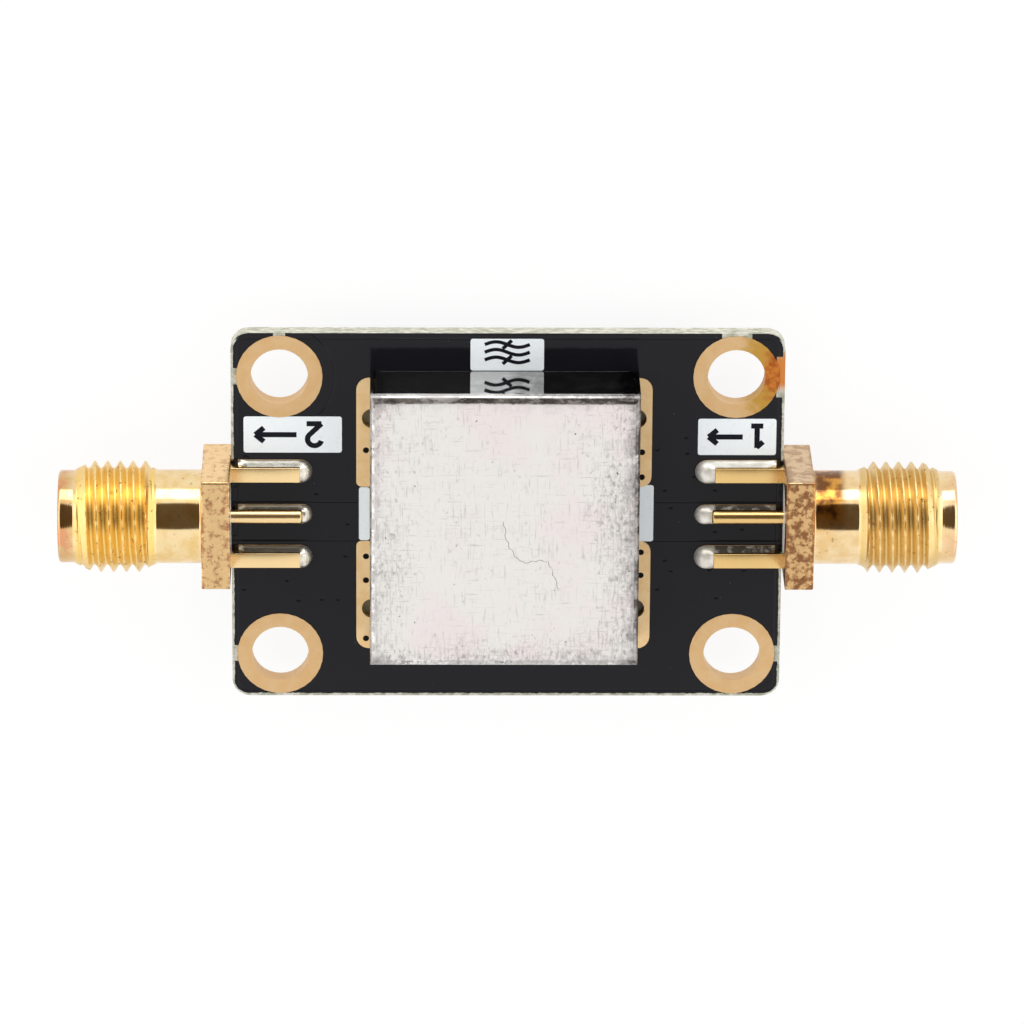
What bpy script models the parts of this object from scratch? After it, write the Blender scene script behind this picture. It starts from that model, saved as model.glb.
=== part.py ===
"""RF bandpass filter module: a circuit board, a folded shield can and a threaded coaxial jack at each end.

Metres, +Z up. X runs through both jacks, with the input jack at -X and the front edge of the board at -Y.
The origin lies on the surface that the two jack flanges stand on, below the middle of the board.
"""

import math

import bmesh
import bpy
from mathutils import Matrix

# Circuit board
BOARD_LENGTH = 0.0308
BOARD_WIDTH = 0.0216
BOARD_THICKNESS = 0.001
BOARD_CORNER = 0.001
LAYOUT_SHIFT = -0.00013  # the signal line lies this far in front of the middle of the board

# Plated corner holes
HOLE_INSET_LONG = 0.0027  # from the board's short edges to the hole centres, 25.4 mm apart
HOLE_INSET_WIDE = 0.00255  # from the board's long edges to the hole centres, 16.5 mm apart
HOLE_DIAMETER = 0.0032
RING_DIAMETER = 0.0048
PLATING_WALL = 0.00005

# Copper and the thin gaps of a soldered assembly
COPPER = 0.000035
BOND_FILM = 0.000005  # between copper and laminate
SOLDER_SEAT = 0.00002  # between copper and the metal that is soldered on it
SOLDER_GAP = 0.00001  # between set solder and the metal that it holds

# Jack body
FLANGE_SIDE = 0.00635
FLANGE_THICKNESS = 0.00158
FLANGE_EDGE = 0.0001
FLANGE_GAP = 0.00002  # between the board's edge and the flange
BARREL_DIAMETER = 0.00525
NOSE_DIAMETER = 0.00518
NOSE_EDGE = 0.00012
JACK_REACH = 0.00801  # from the flange's outer face to the tip
MOUTH_DIAMETER = 0.0046
MOUTH_DEPTH = 0.0019
MOUTH_EDGE = 0.00004

# Thread, a quarter inch with 36 turns to the inch, turned here as rings
THREAD_DIAMETER = 0.0062
THREAD_PITCH = 0.0254 / 36
THREAD_CRESTS = 6
THREAD_START = 0.0013  # from the tip to the first crest
THREAD_RUNOUT = 0.00045  # from the last crest down to the barrel
LEAD_CREST_DIAMETER = 0.0057  # the first crest is cut low by the lead-in

# Legs that grip the board
LEG_WIDTH = 0.00086
LEG_THICKNESS = 0.00073
LEG_LENGTH = 0.00386
LEG_OFFSET = 0.00254  # from the jack's axis to the middle of a leg
LEG_EDGE = 0.00004

# Bead and centre contact
BEAD_DIAMETER = 0.0041
FIT = 0.00002  # pressed parts, all round
PIN_DIAMETER = 0.0008
PIN_REACH = 0.00399  # from the flange's inner face onto the board
PIN_TIP = 0.00012
SOCKET_DIAMETER = 0.00127
SOCKET_LENGTH = 0.0031
SOCKET_BORE = 0.00093
SOCKET_BORE_DEPTH = 0.0024
SOCKET_SLIT = 0.00014
SOCKET_SLIT_LENGTH = 0.0019
SOCKET_RECESS = 0.00005
SOCKET_EDGE = 0.00006

# Solder lands at the board's short edges
LAND_PULLBACK = 0.0002
GROUND_LAND_WIDTH = 0.00136
SIGNAL_LAND_WIDTH = 0.00114
INPUT_LAND_LENGTH = 0.00493  # from the board's edge to the land's round nose
OUTPUT_LAND_LENGTH = 0.00453

# Solder
SOLDER_INSET = 0.00002  # from the land's edge to the foot of the solder
SOLDER_HEIGHT = 0.00046
SOLDER_SHOULDER = 0.00036
TAB_SOLDER_DIAMETER = 0.0017
TAB_SOLDER_HEIGHT = 0.00042

# Shield can
CAN_LENGTH = 0.01493
CAN_WIDTH = 0.016
CAN_HEIGHT = 0.00425  # from the board to the can's top
CAN_SHIFT_X = 0.00019
CAN_SHIFT_Y = -0.00059
SHEET = 0.0002
CAN_BEND = 0.00036
CORNER_SEAM = 0.00006
SEAM_LIP = 0.00001  # left of the front and back walls beside each seam
SEAM_TOP = 0.00026  # from the can's top down to the end of a seam
TAB_WIDTH = 0.0008
TAB_PITCH = 0.01132
TAB_HOLE_DIAMETER = 0.0012
TAB_REACH = 0.00022  # below the board

# Pad strips beside the can
PAD_OUTSTAND = 0.00077  # from the can's wall outwards
PAD_WIDTH = 0.0015
PAD_INNER_END = 0.00162  # from the signal line
PAD_OUTER_END = 0.00806
PAD_OUTER_CORNER = 0.0007
PAD_INNER_CORNERS = {-1: 0.0006, 1: 0.0003}

# Via holes through the pad strips, as distances from the signal line
VIA_DIAMETER = 0.00036
VIA_OUTSTAND = 0.00023
VIAS = {-1: (-0.00368, -0.0022, 0.00228, 0.00366), 1: (-0.00378, 0.00254, 0.00397, 0.00747)}

# Filter parts inside the can
LADDER_PITCH = 0.0026
SHUNT_COIL_OFFSET = 0.0025
SHUNT_CHIP_OFFSET = 0.0024
SERIES_COIL_STEP = 0.00105
SERIES_CHIP_STEP = 0.00125
CHIP_LENGTH = 0.0016
CHIP_WIDTH = 0.0008
CHIP_HEIGHT = 0.0008
CHIP_END = 0.0003
CHIP_END_STEP = 0.00002
COIL_LENGTH = 0.002
COIL_WIDTH = 0.00125
COIL_HEIGHT = 0.0012
COIL_END = 0.0004
COIL_WIRE = 0.0002
COIL_TURNS = 6

# Facets of round shapes
ROUND_STEPS = 32
HOLE_STEPS = 16
VIA_STEPS = 10
CORNER_STEPS = 5
COIL_STEPS = 12
BEND_STEPS = 3

MERGE = 1e-7
SMOOTH_ANGLE = math.radians(35)

# Heights that follow from the sizes above
COPPER_TOP = BOND_FILM + COPPER  # above the laminate
SEAT_HEIGHT = COPPER_TOP + SOLDER_SEAT
AXIS_HEIGHT = SEAT_HEIGHT + PIN_DIAMETER / 2
BOARD_TOP = FLANGE_SIDE / 2 - AXIS_HEIGHT
BOARD_BOTTOM = BOARD_TOP - BOARD_THICKNESS
JACK_LENGTH = FLANGE_THICKNESS + JACK_REACH
BEAD_FACE = JACK_LENGTH - MOUTH_DEPTH
SOCKET_FRONT = BEAD_FACE - SOCKET_RECESS
SOCKET_BACK = SOCKET_FRONT - SOCKET_LENGTH
SIDES = {-1: "input", 1: "output"}
ENDS = {-1: "front", 1: "back"}


def clear_scene():
    for obj in list(bpy.data.objects):
        bpy.data.objects.remove(obj)


def new_collection(name):
    collection = bpy.data.collections.new(name)
    bpy.context.scene.collection.children.link(collection)
    return collection


def material(name, colour, roughness, metallic):
    made = bpy.data.materials.new(name)
    made.use_nodes = True
    made.diffuse_color = (*colour, 1)
    shader = made.node_tree.nodes["Principled BSDF"]
    shader.inputs["Base Color"].default_value = (*colour, 1)
    shader.inputs["Roughness"].default_value = roughness
    shader.inputs["Metallic"].default_value = metallic
    return made


clear_scene()
PARTS = new_collection("rf_bandpass_filter")
CUTTERS = new_collection("cutters")
LAMINATE = material("black_laminate", (0.02, 0.02, 0.022), 0.25, 0)
GOLD = material("gold_plate", (0.78, 0.55, 0.26), 0.3, 1)
PALE_GOLD = material("pad_gold", (0.72, 0.5, 0.27), 0.4, 1)
TIN = material("tinned_sheet", (0.75, 0.72, 0.7), 0.4, 1)
SOLDER = material("solder", (0.7, 0.69, 0.67), 0.3, 1)
BEAD_WHITE = material("bead_white", (0.85, 0.84, 0.8), 0.5, 0)
CERAMIC = material("chip_ceramic", (0.45, 0.33, 0.2), 0.5, 0)
COIL_COPPER = material("coil_copper", (0.5, 0.2, 0.08), 0.35, 1)


def put(name, mesh, finish=None, parent=None, helper=False):
    """An object for the mesh: a part with a finish, or a helper that only shapes other parts."""
    obj = bpy.data.objects.new(name, mesh)
    (CUTTERS if helper else PARTS).objects.link(obj)
    obj.parent = parent
    obj.hide_render = helper
    if helper:
        obj.display_type = "WIRE"
    if finish:
        mesh.materials.clear()
        mesh.materials.append(finish)
    return obj


def evaluated_mesh(obj):
    bpy.context.view_layer.update()
    graph = bpy.context.evaluated_depsgraph_get()
    return bpy.data.meshes.new_from_object(obj.evaluated_get(graph))


def settle(obj, finish):
    """Applies the modifiers, and shades round stretches smooth and true edges sharp."""
    mesh = evaluated_mesh(obj)
    obj.modifiers.clear()
    obj.data = mesh
    mesh.materials.clear()
    mesh.materials.append(finish)
    mesh.polygons.foreach_set("material_index", [0] * len(mesh.polygons))
    mesh.shade_smooth()
    mesh.set_sharp_from_angle(angle=SMOOTH_ANGLE)
    mesh.update()
    return obj


def boolean(target, other, operation):
    modifier = target.modifiers.new(other.name, "BOOLEAN")
    modifier.operation = operation
    modifier.solver = "EXACT"
    modifier.object = other


def block_mesh(name, low, high):
    """A box between two corners."""
    bm = bmesh.new()
    bmesh.ops.create_cube(bm, size=1)
    size = [b - a for a, b in zip(low, high)]
    middle = [(a + b) / 2 for a, b in zip(low, high)]
    bmesh.ops.scale(bm, vec=size, verts=bm.verts)
    bmesh.ops.translate(bm, vec=middle, verts=bm.verts)
    mesh = bpy.data.meshes.new(name)
    bm.to_mesh(mesh)
    bm.free()
    return mesh


def add_edge_round(obj, width, segments=1):
    bevel = obj.modifiers.new("edges", "BEVEL")
    bevel.width = width
    bevel.segments = segments


def turned(name, profile, parent=None, closed=False, along_x=True, steps=ROUND_STEPS, helper=False):
    """A turned shape from (radius, distance along the axis) points. A closed profile makes a ring."""
    mesh = bpy.data.meshes.new(name)
    count = len(profile)
    edges = [(i, i + 1) for i in range(count - 1)]
    if closed:
        edges.append((count - 1, 0))
    mesh.from_pydata([(radius, 0, distance) for radius, distance in profile], edges, [])
    obj = put(name, mesh, parent=parent, helper=helper)
    screw = obj.modifiers.new("turn", "SCREW")
    screw.axis = "Z"
    screw.angle = math.tau
    screw.steps = steps
    screw.render_steps = steps
    screw.use_merge_vertices = True
    screw.merge_threshold = MERGE
    mesh = evaluated_mesh(obj)
    bm = bmesh.new()
    bm.from_mesh(mesh)
    bmesh.ops.remove_doubles(bm, verts=bm.verts, dist=MERGE)
    if along_x:
        bmesh.ops.rotate(bm, matrix=Matrix.Rotation(math.pi / 2, 3, "Y"), verts=bm.verts)
    bmesh.ops.recalc_face_normals(bm, faces=bm.faces)
    bm.to_mesh(mesh)
    bm.free()
    obj.modifiers.clear()
    obj.data = mesh
    return obj


def circle(x, y, radius, steps):
    angles = [math.tau * i / steps for i in range(steps)]
    return [(x + radius * math.cos(a), y + radius * math.sin(a)) for a in angles]


def rounded_box(x_range, y_range, radii, steps=CORNER_STEPS):
    """Outline of a box with round corners, anticlockwise. The first radius is at the low x, low y corner."""
    (x0, x1), (y0, y1) = x_range, y_range
    corners = ((x0, y0, 1, 1), (x1, y0, -1, 1), (x1, y1, -1, -1), (x0, y1, 1, -1))
    points = []
    for index, ((x, y, dx, dy), radius) in enumerate(zip(corners, radii)):
        start = math.pi + index * math.pi / 2
        for step in range(steps + 1):
            angle = start + math.pi / 2 * step / steps
            points.append((x + radius * (dx + math.cos(angle)), y + radius * (dy + math.sin(angle))))
    return points


def plate_mesh(name, outlines, low, high):
    """A flat piece between two heights, cut to the first outline and pierced by the others."""
    curve = bpy.data.curves.new(name, "CURVE")
    curve.dimensions = "2D"
    curve.fill_mode = "BOTH"
    curve.extrude = (high - low) / 2
    for outline in outlines:
        spline = curve.splines.new("POLY")
        spline.points.add(len(outline) - 1)
        spline.use_cyclic_u = True
        for point, (x, y) in zip(spline.points, outline):
            point.co = (x, y, 0, 1)
    guide = bpy.data.objects.new(name, curve)
    PARTS.objects.link(guide)
    mesh = evaluated_mesh(guide)
    bpy.data.objects.remove(guide)
    bm = bmesh.new()
    bm.from_mesh(mesh)
    bmesh.ops.remove_doubles(bm, verts=bm.verts, dist=MERGE)
    bmesh.ops.translate(bm, vec=(0, 0, (low + high) / 2), verts=bm.verts)
    bmesh.ops.recalc_face_normals(bm, faces=bm.faces)
    bm.to_mesh(mesh)
    bm.free()
    return mesh


def plate(name, outlines, low, high, finish, parent=None):
    return settle(put(name, plate_mesh(name, outlines, low, high), parent=parent), finish)


def hole_centres():
    reach_x = BOARD_LENGTH / 2 - HOLE_INSET_LONG
    reach_y = BOARD_WIDTH / 2 - HOLE_INSET_WIDE
    return {(x, y): (x * reach_x, y * reach_y) for x in SIDES for y in ENDS}


def tab_centres():
    """Where the can's tabs go down through the board, under the middle of its side walls."""
    reach = CAN_LENGTH / 2 - SHEET / 2
    return {
        (x, y): (CAN_SHIFT_X + x * reach, LAYOUT_SHIFT + y * TAB_PITCH / 2)
        for x in SIDES
        for y in ENDS
    }


def via_centres(side):
    x = CAN_SHIFT_X + side * (CAN_LENGTH / 2 + VIA_OUTSTAND)
    return [(x, LAYOUT_SHIFT + distance) for distance in VIAS[side]]


def circuit_board():
    half_length, half_width = BOARD_LENGTH / 2, BOARD_WIDTH / 2
    outlines = [rounded_box((-half_length, half_length), (-half_width, half_width), [BOARD_CORNER] * 4)]
    drill = HOLE_DIAMETER / 2 + PLATING_WALL + BOND_FILM
    outlines += [circle(x, y, drill, ROUND_STEPS) for x, y in hole_centres().values()]
    outlines += [circle(x, y, TAB_HOLE_DIAMETER / 2, HOLE_STEPS) for x, y in tab_centres().values()]
    for side in SIDES:
        outlines += [circle(x, y, VIA_DIAMETER / 2, VIA_STEPS) for x, y in via_centres(side)]
    plate("circuit_board", outlines, BOARD_BOTTOM, BOARD_TOP, LAMINATE)


def mounting_ring(side, end, x, y):
    """Land on top, plated wall and land below, as one ring of C section."""
    bore, outside = HOLE_DIAMETER / 2, RING_DIAMETER / 2
    wall = bore + PLATING_WALL
    top, bottom = BOARD_TOP + COPPER_TOP, BOARD_BOTTOM - COPPER_TOP
    profile = [
        (outside, top),
        (outside, top - COPPER),
        (wall, top - COPPER),
        (wall, bottom + COPPER),
        (outside, bottom + COPPER),
        (outside, bottom),
        (bore, bottom),
        (bore, top),
    ]
    name = f"mounting_ring_{SIDES[side]}_{ENDS[end]}"
    ring = turned(name, profile, closed=True, along_x=False)
    ring.location = (x, y, 0)
    settle(ring, PALE_GOLD)


def shield_pad(side, end):
    """A strip under the can's side wall that stands out beside it, with the tab's hole and via holes."""
    outer = CAN_LENGTH / 2 + PAD_OUTSTAND
    xs = sorted(CAN_SHIFT_X + side * reach for reach in (outer - PAD_WIDTH, outer))
    ys = sorted(LAYOUT_SHIFT + end * reach for reach in (PAD_INNER_END, PAD_OUTER_END))
    radii = [
        PAD_OUTER_CORNER if corner_end == end else PAD_INNER_CORNERS[side]
        for corner_end in (-1, -1, 1, 1)
    ]
    x, y = tab_centres()[side, end]
    outlines = [rounded_box(xs, ys, radii), circle(x, y, TAB_HOLE_DIAMETER / 2, HOLE_STEPS)]
    outlines += [
        circle(x, y, VIA_DIAMETER / 2, VIA_STEPS) for x, y in via_centres(side) if ys[0] < y < ys[1]
    ]
    name = f"shield_pad_{SIDES[side]}_{ENDS[end]}"
    plate(name, outlines, BOARD_TOP + BOND_FILM, BOARD_TOP + COPPER_TOP, PALE_GOLD)


def side_frame(side):
    """An empty on the jack's axis at the flange's inner face. Its +X points out of the jack."""
    frame = bpy.data.objects.new(f"{SIDES[side]}_side", None)
    PARTS.objects.link(frame)
    frame.location = (side * (BOARD_LENGTH / 2 + FLANGE_GAP), LAYOUT_SHIFT, FLANGE_SIDE / 2)
    frame.rotation_euler.z = 0 if side > 0 else math.pi
    return frame


def barrel_profile():
    """Outside of the jack, from the tip to inside the flange."""
    nose, barrel, major = NOSE_DIAMETER / 2, BARREL_DIAMETER / 2, THREAD_DIAMETER / 2
    thread_depth = 0.6134 * THREAD_PITCH
    flat = THREAD_PITCH / 16
    points = [(0, JACK_LENGTH), (nose - NOSE_EDGE, JACK_LENGTH), (nose, JACK_LENGTH - NOSE_EDGE)]
    first = JACK_LENGTH - THREAD_START
    for turn in range(THREAD_CRESTS):
        crest = first - turn * THREAD_PITCH
        radius = major if turn else LEAD_CREST_DIAMETER / 2
        root = major - thread_depth if turn else nose
        points += [(root, crest + THREAD_PITCH / 2), (radius, crest + flat), (radius, crest - flat)]
    last = first - (THREAD_CRESTS - 1) * THREAD_PITCH
    points += [(barrel, last - THREAD_RUNOUT), (barrel, FLANGE_THICKNESS / 2), (0, FLANGE_THICKNESS / 2)]
    return points


def leg_heights():
    """Bottom and top of the upper and the lower legs, from the jack's axis."""
    upper = SEAT_HEIGHT - AXIS_HEIGHT
    lower = -AXIS_HEIGHT - BOARD_THICKNESS - SEAT_HEIGHT
    return {"over": (upper, upper + LEG_THICKNESS), "under": (lower - LEG_THICKNESS, lower)}


def jack_body(side, frame):
    """Square flange, barrel with its thread, and four legs, bored through for the bead."""
    name = f"{SIDES[side]}_jack"
    half = FLANGE_SIDE / 2
    body = put(name, block_mesh(name, (0, -half, -half), (FLANGE_THICKNESS, half, half)), parent=frame)
    add_edge_round(body, FLANGE_EDGE, 2)
    boolean(body, turned(name + "_barrel", barrel_profile(), frame, helper=True), "UNION")
    for level, (low, high) in leg_heights().items():
        for end in ENDS:
            middle = end * LEG_OFFSET
            corners = (
                (-LEG_LENGTH, middle - LEG_WIDTH / 2, low),
                (FLANGE_THICKNESS / 2, middle + LEG_WIDTH / 2, high),
            )
            leg_name = f"{name}_leg_{level}_{ENDS[end]}"
            leg = put(leg_name, block_mesh(leg_name, *corners), parent=frame, helper=True)
            add_edge_round(leg, LEG_EDGE)
            boolean(body, leg, "UNION")
    mouth, bore = MOUTH_DIAMETER / 2, BEAD_DIAMETER / 2 + FIT
    bore_profile = [
        (0, JACK_LENGTH + NOSE_EDGE),
        (mouth + MOUTH_EDGE + NOSE_EDGE, JACK_LENGTH + NOSE_EDGE),
        (mouth, JACK_LENGTH - MOUTH_EDGE),
        (mouth, BEAD_FACE),
        (bore, BEAD_FACE),
        (bore, -FLANGE_EDGE),
        (0, -FLANGE_EDGE),
    ]
    boolean(body, turned(name + "_bore", bore_profile, frame, helper=True), "DIFFERENCE")
    settle(body, GOLD)


def bead(side, frame):
    """The insulator, with a wide bore for the socket and a narrow one for the pin."""
    outside, wide, narrow = BEAD_DIAMETER / 2, SOCKET_DIAMETER / 2 + FIT, PIN_DIAMETER / 2 + FIT
    step = SOCKET_BACK - FIT
    profile = [
        (outside, BEAD_FACE),
        (outside, 0),
        (narrow, 0),
        (narrow, step),
        (wide, step),
        (wide, BEAD_FACE),
    ]
    settle(turned(f"{SIDES[side]}_insulator", profile, frame, closed=True), BEAD_WHITE)


def centre_contact(side, frame):
    """A slotted socket in front and a plain pin behind, from one rod."""
    name = f"{SIDES[side]}_contact"
    socket, pin, bore = SOCKET_DIAMETER / 2, PIN_DIAMETER / 2, SOCKET_BORE / 2
    profile = [
        (0, SOCKET_FRONT - SOCKET_BORE_DEPTH),
        (bore, SOCKET_FRONT - SOCKET_BORE_DEPTH),
        (bore, SOCKET_FRONT),
        (socket - SOCKET_EDGE, SOCKET_FRONT),
        (socket, SOCKET_FRONT - SOCKET_EDGE),
        (socket, SOCKET_BACK),
        (pin, SOCKET_BACK),
        (pin, PIN_TIP - PIN_REACH),
        (pin - PIN_TIP, -PIN_REACH),
        (0, -PIN_REACH),
    ]
    contact = turned(name, profile, frame)
    for angle in (0, math.pi / 2):
        low = (SOCKET_FRONT - SOCKET_SLIT_LENGTH, -SOCKET_DIAMETER, -SOCKET_SLIT / 2)
        high = (SOCKET_FRONT + SOCKET_SLIT, SOCKET_DIAMETER, SOCKET_SLIT / 2)
        slit_name = f"{name}_slit_{round(math.degrees(angle))}"
        slit = put(slit_name, block_mesh(slit_name, low, high), parent=frame, helper=True)
        slit.rotation_euler.x = angle
        boolean(contact, slit, "DIFFERENCE")
    settle(contact, GOLD)


def land_outline(side, middle, width, inset=0.0):
    """A strip from near the board's edge inwards, with a round nose, drawn in the jack's frame."""
    length = INPUT_LAND_LENGTH if side < 0 else OUTPUT_LAND_LENGTH
    half = width / 2 - inset
    xs = (-FLANGE_GAP - length + inset, -FLANGE_GAP - LAND_PULLBACK - inset)
    return rounded_box(xs, (middle - half, middle + half), (half, 0, 0, half))


def mound(name, outline, base, height, shoulder, parent=None):
    """Set solder: a plate with a round shoulder, above its base, or below it where the height is negative."""
    far = base + height
    mesh = plate_mesh(name, [outline], min(base, far), max(base, far))
    bm = bmesh.new()
    bm.from_mesh(mesh)
    bmesh.ops.dissolve_limit(bm, angle_limit=math.radians(1), verts=bm.verts, edges=bm.edges)
    rim = [
        edge
        for edge in bm.edges
        if all(abs(vert.co.z - far) < MERGE for vert in edge.verts)
        and edge.calc_face_angle(0) > SMOOTH_ANGLE
    ]
    bmesh.ops.bevel(bm, geom=rim, offset=shoulder, segments=BEND_STEPS, profile=0.5, affect="EDGES")
    bmesh.ops.recalc_face_normals(bm, faces=bm.faces)
    bm.to_mesh(mesh)
    bm.free()
    return put(name, mesh, parent=parent)


def grown_box(name, low, high, by, frame=None):
    """A cutter for a box-shaped piece, larger by the same gap all round."""
    corners = ([value - by for value in low], [value + by for value in high])
    return put(name, block_mesh(name, *corners), parent=frame, helper=True)


def leg_joint(side, frame, level, end):
    """The land and the solder of one leg. The solder stands up both sides of the leg and over its end."""
    middle = end * LEG_OFFSET
    over = level == "over"
    place = SIDES[side] + ("" if over else "_under")
    facing = ENDS[end * side]
    surface = -AXIS_HEIGHT if over else -AXIS_HEIGHT - BOARD_THICKNESS
    sign = 1 if over else -1
    near, far = sorted(surface + sign * height for height in (BOND_FILM, COPPER_TOP))
    outline = land_outline(side, middle, GROUND_LAND_WIDTH)
    plate(f"land_{place}_{facing}", [outline], near, far, PALE_GOLD, frame)
    name = f"solder_{place}_{facing}"
    foot = surface + sign * (COPPER_TOP + SOLDER_GAP)
    outline = land_outline(side, middle, GROUND_LAND_WIDTH, SOLDER_INSET)
    solder = mound(name, outline, foot, sign * SOLDER_HEIGHT, SOLDER_SHOULDER, frame)
    low, high = leg_heights()[level]
    low, high = (foot - SOLDER_SEAT, high) if over else (low, foot + SOLDER_SEAT)
    corners = ((-LEG_LENGTH, middle - LEG_WIDTH / 2, low), (0, middle + LEG_WIDTH / 2, high))
    boolean(solder, grown_box(name + "_leg", *corners, SOLDER_GAP, frame), "DIFFERENCE")
    settle(solder, SOLDER)


def pin_joint(side, frame):
    """The land and the solder of the centre pin."""
    place = SIDES[side]
    surface = -AXIS_HEIGHT
    outline = land_outline(side, 0, SIGNAL_LAND_WIDTH)
    plate(f"land_{place}_signal", [outline], surface + BOND_FILM, surface + COPPER_TOP, PALE_GOLD, frame)
    name = f"solder_{place}_signal"
    foot = surface + COPPER_TOP + SOLDER_GAP
    outline = land_outline(side, 0, SIGNAL_LAND_WIDTH, SOLDER_INSET)
    solder = mound(name, outline, foot, SOLDER_HEIGHT, SOLDER_SHOULDER, frame)
    radius = PIN_DIAMETER / 2 + SOLDER_GAP
    tip = -PIN_REACH - SOLDER_GAP
    rod = [(0, SOLDER_GAP), (radius, SOLDER_GAP), (radius, tip), (0, tip)]
    boolean(solder, turned(name + "_pin", rod, frame, helper=True), "DIFFERENCE")
    corners = ((-PIN_REACH, -PIN_DIAMETER / 2, foot - SOLDER_SEAT), (0, PIN_DIAMETER / 2, 0))
    boolean(solder, grown_box(name + "_foot", *corners, SOLDER_GAP, frame), "DIFFERENCE")
    settle(solder, SOLDER)


def shield_can():
    """One folded sheet: round bends, an open seam at each corner, and four tabs left on the side walls."""
    half_length, half_width = CAN_LENGTH / 2, CAN_WIDTH / 2
    foot, top, tab_end = SEAT_HEIGHT, CAN_HEIGHT, -BOARD_THICKNESS - TAB_REACH
    bm = bmesh.new()
    bmesh.ops.create_cube(bm, size=1)
    bmesh.ops.scale(bm, vec=(CAN_LENGTH, CAN_WIDTH, top - tab_end), verts=bm.verts)
    bmesh.ops.translate(bm, vec=(0, 0, (top + tab_end) / 2), verts=bm.verts)
    bottom = min(bm.faces, key=lambda face: face.calc_center_median().z)
    bmesh.ops.delete(bm, geom=[bottom], context="FACES_ONLY")
    bends = [edge for edge in bm.edges if min(vert.co.z for vert in edge.verts) > foot]
    bmesh.ops.bevel(bm, geom=bends, offset=CAN_BEND, segments=BEND_STEPS, profile=0.5, affect="EDGES")
    mesh = bpy.data.meshes.new("shield_can")
    bm.to_mesh(mesh)
    bm.free()
    can = put("shield_can", mesh)
    can.location = (CAN_SHIFT_X, CAN_SHIFT_Y, BOARD_TOP)
    sheet = can.modifiers.new("sheet", "SOLIDIFY")
    sheet.thickness = SHEET
    sheet.offset = -1
    sheet.use_even_offset = True
    tabs = [LAYOUT_SHIFT - CAN_SHIFT_Y + end * TAB_PITCH / 2 for end in ENDS]
    sides = [y + step for y in tabs for step in (-TAB_WIDTH / 2, TAB_WIDTH / 2)]
    edges = [-CAN_WIDTH, *sides, CAN_WIDTH]
    for number in range(0, len(edges), 2):
        low = (-CAN_LENGTH, edges[number], tab_end - SHEET)
        high = (CAN_LENGTH, edges[number + 1], foot)
        name = f"shield_can_foot_{number // 2}"
        gap = put(name, block_mesh(name, low, high), helper=True)
        gap.location = can.location
        boolean(can, gap, "DIFFERENCE")
    for side in SIDES:
        for end in ENDS:
            ys = sorted((end * (half_width + SHEET), end * (half_width - SHEET * 2)))
            reach = half_length - SHEET - SEAM_LIP
            xs = sorted((side * reach, side * (reach - CORNER_SEAM)))
            name = f"shield_can_seam_{SIDES[side]}_{ENDS[end]}"
            corners = ((xs[0], ys[0], foot - SHEET), (xs[1], ys[1], top - SEAM_TOP))
            seam = put(name, block_mesh(name, *corners), helper=True)
            seam.location = can.location
            boolean(can, seam, "DIFFERENCE")
    settle(can, TIN)


def tab_solder(side, end, x, y):
    """A dome of solder round the tab's end, under the board."""
    name = f"solder_tab_{SIDES[side]}_{ENDS[end]}"
    outline = circle(x, y, TAB_SOLDER_DIAMETER / 2, HOLE_STEPS)
    solder = mound(name, outline, BOARD_BOTTOM - SOLDER_GAP, -TAB_SOLDER_HEIGHT, SOLDER_SHOULDER)
    corners = (
        (x - SHEET / 2, y - TAB_WIDTH / 2, BOARD_BOTTOM - TAB_REACH),
        (x + SHEET / 2, y + TAB_WIDTH / 2, BOARD_TOP),
    )
    boolean(solder, grown_box(name + "_tab", *corners, SOLDER_GAP), "DIFFERENCE")
    settle(solder, SOLDER)


def lay_part(obj, x, y, turned_across):
    obj.location = (x, y, BOARD_TOP + SEAT_HEIGHT)
    obj.rotation_euler.z = math.pi / 2 if turned_across else 0


def capacitor(number, x, y, across=False):
    """A ceramic chip with a metal cap over each end."""
    name = f"capacitor_{number}"
    half, side, step = CHIP_LENGTH / 2, CHIP_WIDTH / 2, CHIP_END_STEP
    low = (step - half, step - side, step)
    high = (half - step, side - step, CHIP_HEIGHT - step)
    chip = put(name, block_mesh(name, low, high))
    lay_part(chip, x, y, across)
    for end in (-1, 1):
        xs = sorted((end * half, end * (half - CHIP_END)))
        cap_name = f"{name}_cap_{ENDS[end]}"
        corners = ((xs[0], -side, 0), (xs[1], side, CHIP_HEIGHT))
        cap = put(cap_name, block_mesh(cap_name, *corners), helper=True)
        lay_part(cap, x, y, across)
        boolean(chip, cap, "UNION")
    settle(chip, CERAMIC)


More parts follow.
